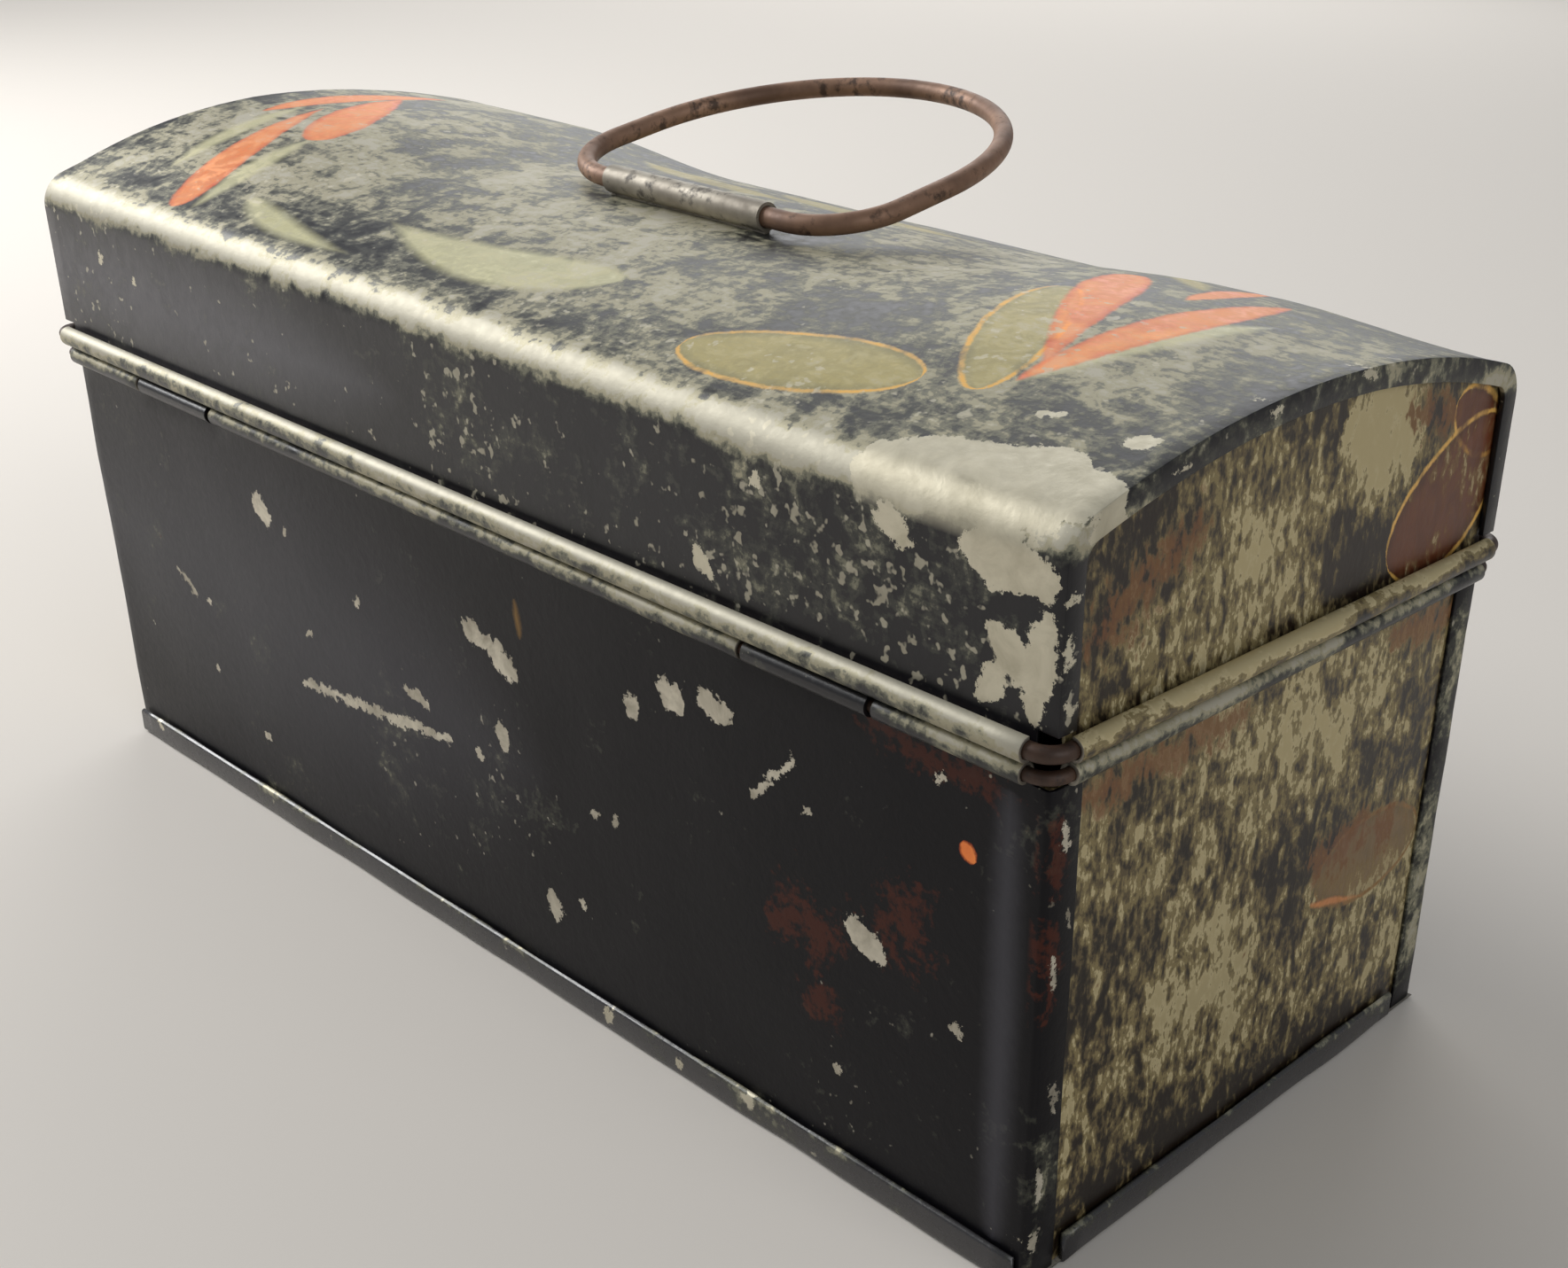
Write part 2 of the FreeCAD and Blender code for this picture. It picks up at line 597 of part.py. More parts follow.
def make_handle_strap():
    """Rolled tube for the ring; its legs pass the dome's slot and spread under the dome."""
    body = new_body("handle_strap")
    thick = "Sizes.sheet_thick"
    neck = f"Places.tube_z - sqrt(Places.tube_out ^ 2 - {thick} ^ 2)"
    upper = f"(Sizes.dome_radius - {thick} - Sizes.tab_gap)"
    lower = f"({upper} - {thick})"
    root = f"Places.dome_z + sqrt({upper} ^ 2 - {thick} ^ 2)"
    tip_top = f"Places.dome_z + sqrt({upper} ^ 2 - Sizes.strap_tab ^ 2)"
    tip_low = f"Places.dome_z + sqrt({lower} ^ 2 - Sizes.strap_tab ^ 2)"
    tab = "Sizes.strap_tab"
    section = new_sketch(body, "YZ_Plane")
    draw(section, [
        corner(thick, neck, Arc("0", "Places.tube_z", LEFT_TURN)),
        corner(f"-{thick}", neck),
        corner(f"-{thick}", root, Arc("0", "Places.dome_z", LEFT_TURN)),
        corner(f"-{tab}", tip_top),
        corner(f"-{tab}", tip_low, Arc("0", "Places.dome_z", RIGHT_TURN)),
        corner(tab, tip_low),
        corner(tab, tip_top, Arc("0", "Places.dome_z", LEFT_TURN)),
        corner(thick, root),
    ])
    draw_circle(section, "0", "Places.tube_z", "Places.tube_in")
    pad(body, section, "Sizes.tube_length", is_middle=True)
    body.setExpression("Placement.Base.x", "Sizes.handle_offset")
    return body


def make_ring():
    """Wire ring, its ends meeting in the tube, drawn level and then tilted at the tube."""
    body = new_body("handle_ring")
    half = "Places.ring_half"
    right = "Sizes.ring_bend_right"
    left = "Sizes.ring_bend_left"
    joint = "(Sizes.ring_joint / 2)"
    path = new_sketch(body, "XY_Plane")
    draw(path, [
        corner(joint, "0"),
        corner(f"{half} - {right}", "0", Arc(f"{half} - {right}", f"-{right}", RIGHT_TURN)),
        corner(half, f"-{right}"),
        corner(half, "-Places.ring_centre", Arc("0", "-Places.ring_centre", RIGHT_TURN)),
        corner(f"-{half}", "-Places.ring_centre"),
        corner(f"-{half}", f"-{left}", Arc(f"{left} - {half}", f"-{left}", RIGHT_TURN)),
        corner(f"{left} - {half}", "0"),
        corner(f"-{joint}", "0"),
    ], is_closed=False)
    section = new_sketch(body, "YZ_Plane", joint)
    draw_circle(section, "0", "0", "Sizes.handle_wire / 2")
    pipe(body, section, path)
    place_turned(body, "Sizes.ring_tilt", "Sizes.handle_offset", "0", "Places.tube_z")
    return body


def make_hasp():
    """Tin hasp on the lid's front rim wire, leaning on the staple's nose."""
    body = new_body("hasp")
    knuckle = new_sketch(body, "YZ_Plane")
    draw(knuckle, curl_over("0", "0", "Places.hasp_in", "-Places.hasp_in"))
    pad(body, knuckle, "Sizes.hasp_width", is_middle=True)
    half = "(Sizes.hasp_width / 2)"
    round_z = f"{half} - Sizes.hasp_length"
    slot = "(Sizes.hasp_slot_wide / 2)"
    slot_high = f"-Sizes.hasp_slot_top - {slot}"
    slot_low = f"{slot} - Sizes.hasp_slot_top - Sizes.hasp_slot_long"
    plate = new_sketch(body, "XZ_Plane", "Places.hasp_in")
    draw(plate, [
        corner(half, "0"),
        corner(f"-{half}", "0"),
        corner(f"-{half}", round_z, Arc("0", round_z, LEFT_TURN)),
        corner(half, round_z),
    ])
    draw(plate, [
        corner(slot, slot_low),
        corner(slot, slot_high, Arc("0", slot_high, LEFT_TURN)),
        corner(f"-{slot}", slot_high),
        corner(f"-{slot}", slot_low, Arc("0", slot_low, LEFT_TURN)),
    ])
    pad(body, plate, "Sizes.sheet_thick")
    place_turned(body, "Places.hasp_lean", "0", "-Places.lid_wire_y", "Places.lid_wire_z")
    return body


def place_turned(body, angle, across, along, up):
    """Move a piece to its pivot and turn it there, so that what points to the front goes up."""
    turn = FreeCAD.Rotation(FreeCAD.Vector(-1, 0, 0), number(angle))
    body.Placement = FreeCAD.Placement(FreeCAD.Vector(), turn)
    body.setExpression("Placement.Rotation.Angle", angle)
    body.setExpression("Placement.Base.x", across)
    body.setExpression("Placement.Base.y", along)
    body.setExpression("Placement.Base.z", up)


pieces = [
    make_rear_panel(),
    make_front_panel(),
    make_body_end("body_left_end", is_right=False),
    make_body_end("body_right_end", is_right=True),
    make_bottom(),
    make_rim_wire("body_rim_wire", "Places.body_wire_x", "Places.body_wire_y", "Sizes.rim_height",
                  "Sizes.body_wire"),
    make_staple(),
    make_lid_top(),
    make_lid_end("lid_left_end", is_right=False),
    make_lid_end("lid_right_end", is_right=True),
    make_rim_wire("lid_rim_wire", "Places.lid_wire_x", "Places.lid_wire_y", "Places.lid_wire_z",
                  "Sizes.lid_wire"),
    make_hinge_strap("hinge_strap_left", "-"),
    make_hinge_strap("hinge_strap_right", ""),
    make_handle_strap(),
    make_ring(),
    make_hasp(),
]
doc.recompute()

for item in doc.Objects:
    if "Invalid" in item.State or "Error" in item.State:
        raise RuntimeError(f"{item.Label} failed: {item.State}")
for piece in pieces:
    if piece.Shape.isNull() or not piece.Shape.isValid() or len(piece.Shape.Solids) != 1:
        raise RuntimeError(f"{piece.Label} has no single valid solid")

os.makedirs("parts", exist_ok=True)
for piece in pieces:
    piece.Shape.exportStep(f"parts/{piece.Label}.step")
    box = piece.Shape.BoundBox
    print(f"{piece.Label}: {box.XMin:.2f} {box.YMin:.2f} {box.ZMin:.2f} to "
          f"{box.XMax:.2f} {box.YMax:.2f} {box.ZMax:.2f}, {piece.Shape.Volume:.1f} mm3")
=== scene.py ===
"""Dome-top document box of japanned tinplate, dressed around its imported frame."""
import logging
import math
from dataclasses import dataclass, replace
from enum import Enum
from functools import partial
from typing import Callable

import bmesh
import bpy
from mathutils import Matrix, Vector, noise


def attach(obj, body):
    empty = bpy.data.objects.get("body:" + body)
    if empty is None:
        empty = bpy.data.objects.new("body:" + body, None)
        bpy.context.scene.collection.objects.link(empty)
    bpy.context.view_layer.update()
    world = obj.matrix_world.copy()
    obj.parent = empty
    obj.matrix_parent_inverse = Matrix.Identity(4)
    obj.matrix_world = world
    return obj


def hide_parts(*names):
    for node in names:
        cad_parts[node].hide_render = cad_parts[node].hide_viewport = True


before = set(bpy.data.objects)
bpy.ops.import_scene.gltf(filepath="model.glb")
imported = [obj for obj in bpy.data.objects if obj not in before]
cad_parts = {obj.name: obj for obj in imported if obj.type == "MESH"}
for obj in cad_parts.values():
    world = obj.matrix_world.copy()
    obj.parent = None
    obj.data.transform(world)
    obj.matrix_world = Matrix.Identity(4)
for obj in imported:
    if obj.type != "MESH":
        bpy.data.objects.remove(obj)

logging.basicConfig(level=logging.INFO, format="%(name)s: %(message)s")
LOG = logging.getLogger("tin_box")

Tree = bpy.types.NodeTree
Socket = bpy.types.NodeSocket
Material = bpy.types.Material
Mesh = bmesh.types.BMesh
Edge = bmesh.types.BMEdge
Vert = bmesh.types.BMVert
Flat = tuple[float, float]
Point = tuple[float, float, float]
Row = tuple[float, ...]
Feed = Socket | Vector | tuple[float, ...] | float | None
Layer = tuple[Socket, Feed]
Add = Callable[..., Socket]
Pair = tuple[str, str]

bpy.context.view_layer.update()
MM = 0.001
IMAGE_WIDE = 1769
IMAGE_HIGH = 1431

# Sheet work: lengths in millimetres, the angle from which an edge is worn, and steps of curls and corners.
SHEET_THICK = 0.5
EDGE_ROUND = 0.12
EDGE_ANGLE = 50.0
MERGE = 0.001
TOUCH = 0.01
CUT_CLEAR = 0.1
CURL_STEPS = 18
CORNER_STEPS = 3

# Slots of a sheet's outer face. Its other skin takes the next slot: the inside behind the outside, and
# the bead, which is what shows of a curl, behind the inside.
OUTSIDE, INSIDE = range(2)
NEXT_SLOT = 1

# Sockets by number: place on the object, colour of a noise, value of a dot product, ends of a colour mix.
OBJECT_PLACE = 3
NOISE_COLOUR = 1
DOT_VALUE = 1
MIX_ENDS = (6, 7)

# Settings that many nodes share.
COLOUR_MIX = {"out": 2, "data_type": "RGBA"}
SMOOTH = {"interpolation_type": "SMOOTHSTEP"}

# A mark's ends: share of its length that is kept off them, and change of its reach past them.
MARK_TIP = 0.0001
TIP_FALL = -200.0

# Sizes of the patterns in the varnish in millimetres, and the push of the warp on chips and on strokes.
BLOTCH = 30.0
SPECK = 1.4
SCUFF = 1.6
WARP = 4.0
PIN = 1.9
CHIP_PUSH = 5.5
STROKE_PUSH = 1.4

# Shares of the blotches and flakes in the wear, of the specks in the dullness and the flakes in the bumps.
BLOTCH_SHARE = 1.2
FLAKE_SHARE = 1.6
DULL_SPECKS = 0.16
BUMP_FLAKES = 2.0

# Wear over which the gloss and the paint go, and the part of the flakes over which bare tin brightens.
GLOSS_WEAR = (-0.2, 0.3)
PAINT_WEAR = (-0.1, 0.45)
TIN_FLAKES = (0.32, 0.62)

# Chips and rust: shares of specks and flakes, sums over which they set in, their cover and rust's soft edge.
CHIP_SPECKS = 2.4
CHIP_FROM = (1.1, 1.3)
PIN_FROM = (1.02, 1.07)
PIN_COVER = 0.6
RUST_FLAKES = 1.8
RUST_SPECKS = 1.4
RUST_EDGE = 0.4
RUST_FROM = (1.75, 2.0)
RUST_COVER = 0.8

# Paint: where in mm a stroke begins outside its edge, where thin and full paint covers and how much of it
# is left on a whole and on a worn film, how it is loaded, and where its outline runs and how it is broken.
PAINT_FROM = -0.2
THIN_EDGE = 1.8
FULL_EDGE = 0.4
THIN_COVER = (0.82, 0.3)
FULL_COVER = (0.98, 0.6)
LOAD_FLAKES = 1.8
LOAD_WIDE = 0.16
LOAD_LEAST = 0.2
LINE_AT = 0.1
LINE_HALF = (0.2, 0.56)
LINE_COVER = 0.95
LINE_FLAKES = (0.34, 0.56)
LINE_LEAST = 0.1


def linear(hex_colour: str) -> tuple[float, float, float, float]:
    """Turn an sRGB hex colour into linear light.

    Args:
        hex_colour: six hex digits after a hash.

    Returns:
        Red, green, blue and an alpha of 1.
    """
    parts = [int(hex_colour[i:i + 2], 16) / 255 for i in (1, 3, 5)]
    red, green, blue = (p / 12.92 if p <= 0.04045 else ((p + 0.055) / 1.055) ** 2.4 for p in parts)
    return (red, green, blue, 1.0)


def put(tree: Tree, kind: str, *feeds: Feed, at: dict[int | str, Feed] | None = None, out: int = 0,
        **settings: str | Tree) -> Socket | None:
    """Add a node with its settings and links.

    Args:
        tree: tree that gets the node.
        kind: node type after "ShaderNode".
        feeds: sockets to link or values to set, for the first inputs in order; None skips one.
        at: more of them, by the input's name or number.
        out: number of the output that is returned.
        settings: attributes of the node.

    Returns:
        The chosen output socket.
    """
    node = tree.nodes.new(f"ShaderNode{kind}")
    for name, value in settings.items():
        setattr(node, name, value)
    for key, feed in [*enumerate(feeds), *(at or {}).items()]:
        if isinstance(feed, Socket):
            tree.links.new(feed, node.inputs[key])
        elif feed is not None:
            node.inputs[key].default_value = feed
    return node.outputs[out] if node.outputs else None


def start_material(name: str) -> tuple[Material, Add, Socket]:
    """Start a material with an empty tree.

    Args:
        name: name of the material.

    Returns:
        The material, what adds a node to it, and the socket of a point on the piece in millimetres.
    """
    material = bpy.data.materials.new(name)
    material.use_nodes = True
    material.node_tree.nodes.clear()
    add = partial(put, material.node_tree)
    place = add("TexCoord", out=OBJECT_PLACE)
    return material, add, add("VectorMath", place, at={"Scale": 1 / MM}, operation="SCALE")


class Tip(Enum):
    """How a mark ends: growth of its width from the start and towards the end."""

    ROUND = (0.5, 0.5)
    DROP = (0.45, 1.0)
    LEAF = (0.75, 0.75)
    LINE = (0.12, 0.12)


class Face(Enum):
    """Face that carries marks, as the two axes in which they are laid out."""

    TOP = (0, 1)
    LONG = (0, 2)
    END = (1, 2)


# Marks show only on the dome, the rear side and the left end: axis, and places where they begin and are full.
WINDOWS = {Face.TOP: (2, 99.5, 102.0), Face.LONG: (1, 40.0, 41.0), Face.END: (0, -112.4, -113.2)}


class Coat(Enum):
    """What a mark shows."""

    BARE = "bare tin"
    ORANGE = "orange"
    OLIVE = "olive"
    SAGE = "pale olive"
    OUTLINED = "olive with an orange outline"
    PETAL = "brown petal with an orange outline"
    RUST = "rust"
    RUB = "more or less rubbing"
    # Painted sheen: a pale layer that stands for light on the glossy film.
    HAZE = "dull veil on the film"


PAINT_ORDER = (Coat.OLIVE, Coat.SAGE, Coat.OUTLINED, Coat.PETAL, Coat.ORANGE)
WORN_COATS = (Coat.BARE, Coat.RUST, Coat.RUB)


@dataclass(frozen=True)
class Mark:
    """One brush stroke, chip or scratch, in millimetres on a face of the box."""

    coat: Coat
    face: Face
    start: Flat
    end: Flat
    width: float
    bend: float = 0.0
    tip: Tip = Tip.ROUND
    amount: float = 0.0


def strokes(coat: Coat, face: Face, tip: Tip, *rows: Row) -> tuple[Mark, ...]:
    """List marks of one kind from rows of start, end, width and, where it has one, bend."""
    return tuple(Mark(coat, face, row[:2], row[2:4], *row[4:], tip=tip) for row in rows)


def rubs(face: Face, *rows: Row) -> tuple[Mark, ...]:
    """List places that are rubbed more or less than others from rows of start, end, width and amount."""
    return tuple(Mark(Coat.RUB, face, row[:2], row[2:4], row[4], amount=row[5]) for row in rows)


def make_mark_group() -> Tree:
    """Make the group that tells how far inside a mark a point lies.

    Returns:
        Node group with the point and the mark's shape as inputs and the reach in mm as output.
    """
    tree = bpy.data.node_groups.new("brush_mark", "ShaderNodeTree")
    for name in ("Point", "Start", "Along", "Across"):
        tree.interface.new_socket(name, in_out="INPUT", socket_type="NodeSocketVector")
    for name in ("Half width", "Bend", "Opening", "Closing"):
        tree.interface.new_socket(name, in_out="INPUT", socket_type="NodeSocketFloat")
    tree.interface.new_socket("Reach", in_out="OUTPUT", socket_type="NodeSocketFloat")
    given = tree.nodes.new("NodeGroupInput").outputs
    add = partial(put, tree)
    place = add("VectorMath", given["Point"], given["Start"], operation="SUBTRACT")
    free = add("VectorMath", place, given["Along"], out=DOT_VALUE, operation="DOT_PRODUCT")
    run = add("Clamp", free, MARK_TIP, 1 - MARK_TIP)
    past = add("Math", free, run, operation="SUBTRACT")
    past = add("Math", past, operation="ABSOLUTE")
    rest = add("Math", 1.0, run, operation="SUBTRACT")
    side = add("VectorMath", place, given["Across"], out=DOT_VALUE, operation="DOT_PRODUCT")
    bow = add("Math", run, rest, operation="MULTIPLY")
    side = add("Math", bow, given["Bend"], side, operation="MULTIPLY_ADD")
    side = add("Math", side, operation="ABSOLUTE")
    grow = add("Math", run, given["Opening"], operation="POWER")
    fall = add("Math", rest, given["Closing"], operation="POWER")
    wide = add("Math", grow, fall, operation="MULTIPLY")
    wide = add("Math", wide, given["Half width"], operation="MULTIPLY")
    reach = add("Math", wide, side, operation="SUBTRACT")
    reach = add("Math", past, TIP_FALL, reach, operation="MULTIPLY_ADD")
    end = tree.nodes.new("NodeGroupOutput")
    tree.links.new(reach, end.inputs["Reach"])
    return tree


MARK_GROUP = make_mark_group()


@dataclass(frozen=True)
class RubLine:
    """Edge that hands and cloths have rubbed, as a plane across one axis, in millimetres."""

    axis: int
    place: float
    spread: float
    amount: float


@dataclass(frozen=True)
class Tone:
    """Colour that shows from a certain wear on; low and high tell how crisp its edge is."""

    colour: str
    low: float
    high: float


@dataclass(frozen=True)
class Ground:
    """Patterns of one material, and its points and masks for each face that carries marks."""

    add: Add
    mm: Socket
    axes: tuple[Socket, ...]
    blotch: Socket
    flake: Socket
    speck: Socket
    scuff: Socket
    points: dict[tuple[Face, float], Socket]
    windows: dict[Face, Socket]

    def lay(self, mark: Mark) -> Socket:
        """Lay one mark out.

        Args:
            mark: the mark.

        Returns:
            Reach of the mark in mm, positive inside it.
        """
        start = Vector(mark.start)
        run = Vector(mark.end) - start
        length = run.length
        along = run / length
        across = Vector((-along.y, along.x))
        opening, closing = mark.tip.value
        peak = opening / (opening + closing)
        fullest = peak ** opening * (1 - peak) ** closing
        point = self.points[mark.face, CHIP_PUSH if mark.coat in WORN_COATS else STROKE_PUSH]
        # The bow of a mark is run times rest, a quarter at its middle.
        return self.add("Group", point, start.to_3d(), (along / length).to_3d(), across.to_3d(),
                        mark.width / 2 / fullest, 4 * mark.bend, opening, closing, node_tree=MARK_GROUP)

    def on_face(self, share: Socket, mark: Mark) -> Socket:
        """Keep a mark's share off the faces behind and beside its own."""
        return self.add("Math", share, self.windows[mark.face], operation="MULTIPLY")


BLACK_TONES = (Tone("#363630", -0.18, -0.04), Tone("#747260", 0.00, 0.14), Tone("#a6a088", 0.18, 0.27),
               Tone("#b2ad9c", 0.34, 0.48))
END_TONES = (Tone("#2f281b", -0.36, -0.20), Tone("#5c4f35", -0.18, -0.06), Tone("#83754f", 0.02, 0.12),
             Tone("#bcae86", 0.24, 0.34))


@dataclass(frozen=True)
class JapannedTin:
    """Tinplate under a baked japan varnish, with painted strokes, chips and rubbed edges.

    The varnish is a thin satin film, nearly black. Where it is rubbed the dull tin shows as
    grey-olive, and between the two lies a hazy, scratched film. Paired colours go from the deep
    or dark one to the full, bright or warm one.
    """

    name: str
    film: Pair = ("#0c0d12", "#181619")
    tones: tuple[Tone, ...] = BLACK_TONES
    bare_from: Flat = (0.20, 0.27)
    rub: float = 0.0
    contrast: float = 1.0
    streak: Point = (1.0, 1.0, 1.0)
    lines: tuple[RubLine, ...] = ()
    marks: tuple[Mark, ...] = ()
    orange: Pair = ("#dd5626", "#ff9850")
    olive: Pair = ("#807a48", "#c6b468")
    sage: Pair = ("#b4ae7c", "#e6e0b0")
    petal: Pair = ("#442312", "#6c3a20")
    tin: Pair = ("#b3ac96", "#cdc6b0")
    outline: str = "#e6b45c"
    rust: str = "#4a2114"
    # Colour of the pale layers that are painted sheen on the film.
    sheen_colour: str = "#55545a"
    gloss: float = 0.27
    gloss_lost: float = 0.2
    shine: float = 0.5
    bare_metal: float = 0.5
    bump: float = 0.22
    bump_high: float = 0.15
    flecks: float = 0.0
    flake: float = 7.0
    grit: float = 0.9
    scuff: float = 0.5
    scuff_run: Point = (0.16, 1.0, 1.0)

    def make(self) -> Material:
        """Build the material.

        Returns:
            The finished material.
        """
        material, add, mm = start_material(self.name)
        ground = self._ground(add, mm)
        wear = self._wear(ground)
        layers = [(ground.blotch, linear(self.film[1]))]
        for tone in self.tones:
            layers.append((add("MapRange", wear, tone.low, tone.high, 0.0, 1.0), linear(tone.colour)))
        for coat in PAINT_ORDER:
            for mark in self._marks(coat):
                layers += self._paint(ground, wear, mark)
        layers += self._rust_and_sheen(ground)
        bare = add("MapRange", wear, *self.bare_from, 0.0, 1.0)
        chips = self._chips(ground)
        if chips is not None:
            tin = add("MapRange", ground.flake, *TIN_FLAKES, 0.0, 1.0)
            tin = add("Mix", tin, at=dict(zip(MIX_ENDS, map(linear, self.tin))), **COLOUR_MIX)
            layers.append((chips, tin))
            bare = add("Math", bare, chips, operation="MAXIMUM")
        colour = linear(self.film[0])
        for share, over in layers:
            colour = add("Mix", share, at=dict(zip(MIX_ENDS, (colour, over))), **COLOUR_MIX)
        dull = add("MapRange", wear, *GLOSS_WEAR, self.gloss, self.gloss + self.gloss_lost)
        dull = add("Math", ground.speck, DULL_SPECKS, dull, operation="MULTIPLY_ADD")
        metal = add("Math", bare, self.bare_metal, operation="MULTIPLY")
        height = add("Math", ground.flake, BUMP_FLAKES, ground.speck, operation="MULTIPLY_ADD")
        normal = add("Bump", at={"Strength": self.bump, "Distance": self.bump_high * MM, "Height": height})
        shader = add("BsdfPrincipled", at={"Base Color": colour, "Roughness": dull, "Metallic": metal,
                                           "Normal": normal, "Specular IOR Level": self.shine})
        add("OutputMaterial", shader)
        return material

    def _marks(self, coat: Coat) -> list[Mark]:
        """List the marks of one coat."""
        return [mark for mark in self.marks if mark.coat is coat]

    def _ground(self, add: Add, mm: Socket) -> Ground:
        """Lay out the patterns that the coats share.

        Args:
            add: adds a node to the material.
            mm: point in mm.

        Returns:
            The patterns, points and masks.
        """
        drawn = add("VectorMath", mm, self.streak, operation="MULTIPLY")
        wiped = add("VectorMath", mm, self.scuff_run, operation="MULTIPLY")
        grains = ((mm, BLOTCH, 3.0, 0.6, 0.0), (drawn, self.flake, 6.0, 0.62, 0.6),
                  (drawn, SPECK, 3.0, 0.6, 0.0), (wiped, SCUFF, 3.0, 0.7, 0.0))
        blotch, flake, speck, scuff = (
            add("TexNoise", point,
                at={"Scale": 1 / size, "Detail": detail, "Roughness": rough, "Distortion": twist})
            for point, size, detail, rough, twist in grains)
        warp = add("TexNoise", mm, at={"Scale": 1 / WARP, "Detail": 6.0, "Roughness": 0.78}, out=NOISE_COLOUR)
        warp = add("VectorMath", warp, (0.5, 0.5, 0.5), operation="SUBTRACT")
        axes = tuple(add("SeparateXYZ", mm, out=axis) for axis in range(3))
        points, windows = {}, {}
        for face in sorted({mark.face for mark in self.marks}, key=lambda face: face.name):
            for push in (CHIP_PUSH, STROKE_PUSH):
                moved = add("VectorMath", warp, at={"Scale": push}, operation="SCALE")
                moved = add("VectorMath", mm, moved, operation="ADD")
                parts = [add("SeparateXYZ", moved, out=axis) for axis in face.value]
                points[face, push] = add("CombineXYZ", *parts)
            across, begins, full = WINDOWS[face]
            windows[face] = add("MapRange", axes[across], begins, full, 0.0, 1.0)
        return Ground(add, mm, axes, blotch, flake, speck, scuff, points, windows)

    def _wear(self, ground: Ground) -> Socket:
        """Work out how far the varnish is rubbed through.

        Args:
            ground: patterns of the material.

        Returns:
            Wear, about zero where the film begins to go.
        """
        add = ground.add
        shares = ((ground.blotch, BLOTCH_SHARE * self.contrast), (ground.flake, FLAKE_SHARE * self.contrast),
                  (ground.speck, self.grit * self.contrast), (ground.scuff, self.scuff))
        # Each pattern lies about one half, so half of its share comes off again.
        wear = self.rub - sum(share for _, share in shares) / 2
        for pattern, share in shares:
            wear = add("Math", pattern, share, wear, operation="MULTIPLY_ADD")
        for line in self.lines:
            gap = add("Math", ground.axes[line.axis], line.place, operation="SUBTRACT")
            gap = add("Math", gap, operation="ABSOLUTE")
            near = add("MapRange", gap, 0.0, line.spread, line.amount, 0.0, **SMOOTH)
            wear = add("Math", wear, near, operation="ADD")
        for mark in self._marks(Coat.RUB):
            near = add("MapRange", ground.lay(mark), -mark.width / 3, mark.width / 2.5, 0.0, mark.amount)
            wear = add("Math", ground.windows[mark.face], near, wear, operation="MULTIPLY_ADD")
        return wear

    def _paint(self, ground: Ground, wear: Socket, mark: Mark) -> list[Layer]:
        """Paint one brush stroke.

        Args:
            ground: patterns of the material.
            wear: wear that breaks the paint up.
            mark: the stroke.

        Returns:
            The layer of paint, and its outline where it has one.
        """
        add = ground.add
        pairs = {Coat.ORANGE: self.orange, Coat.PETAL: self.petal, Coat.SAGE: self.sage}
        pair = pairs.get(mark.coat, self.olive)
        left = FULL_COVER if mark.coat is Coat.ORANGE else THIN_COVER
        edge_in = THIN_EDGE if mark.coat in (Coat.OLIVE, Coat.SAGE) else FULL_EDGE
        reach = ground.lay(mark)
        inside = add("MapRange", reach, PAINT_FROM, edge_in, 0.0, 1.0)
        kept = add("MapRange", wear, *PAINT_WEAR, *left)
        share = add("Math", ground.on_face(inside, mark), kept, operation="MULTIPLY")
        load = add("MapRange", reach, PAINT_FROM, LOAD_WIDE * mark.width, LOAD_LEAST, 1.0)
        load = add("Math", ground.flake, LOAD_FLAKES, load, operation="MULTIPLY_ADD")
        load = add("Math", load, 1.0, operation="SUBTRACT")
        load = add("Clamp", load)
        layers = [(share, add("Mix", load, at=dict(zip(MIX_ENDS, map(linear, pair))), **COLOUR_MIX))]
        if mark.coat in (Coat.OUTLINED, Coat.PETAL):
            edge = add("Math", reach, LINE_AT, operation="SUBTRACT")
            edge = add("Math", edge, operation="ABSOLUTE")
            edge = add("MapRange", edge, *LINE_HALF, LINE_COVER, 0.0)
            broken = add("MapRange", ground.flake, *LINE_FLAKES, LINE_LEAST, 1.0)
            edge = add("Math", edge, broken, operation="MULTIPLY")
            layers.append((ground.on_face(edge, mark), linear(self.outline)))
        return layers

    def _rust_and_sheen(self, ground: Ground) -> list[Layer]:
        """Lay rust, and pale layers of painted sheen, over the film and its paint.

        Args:
            ground: patterns of the material.

        Returns:
            Their layers.
        """
        add = ground.add
        layers = []
        for mark in self._marks(Coat.RUST):
            half = RUST_EDGE * mark.width
            stain = add("MapRange", ground.lay(mark), -half, half, -RUST_EDGE, RUST_EDGE)
            stain = add("Math", ground.flake, RUST_FLAKES, stain, operation="MULTIPLY_ADD")
            stain = add("Math", ground.speck, RUST_SPECKS, stain, operation="MULTIPLY_ADD")
            stain = add("MapRange", stain, *RUST_FROM, 0.0, RUST_COVER)
            layers.append((ground.on_face(stain, mark), linear(self.rust)))
        # Pale layers: painted sheen and painted highlights on the glossy film.
        for mark in self._marks(Coat.HAZE):
            sheen_share = add("MapRange", ground.lay(mark), 0.0, mark.width / 2, 0.0, mark.amount, **SMOOTH)
            layers.append((ground.on_face(sheen_share, mark), linear(self.sheen_colour)))
        return layers

    def _chips(self, ground: Ground) -> Socket | None:
        """Mask the chips and scratches, where the tin lies bare.

        Args:
            ground: patterns of the material.

        Returns:
            The mask, or None where the finish has no chips.
        """
        add = ground.add
        chips = None
        if self.flecks:
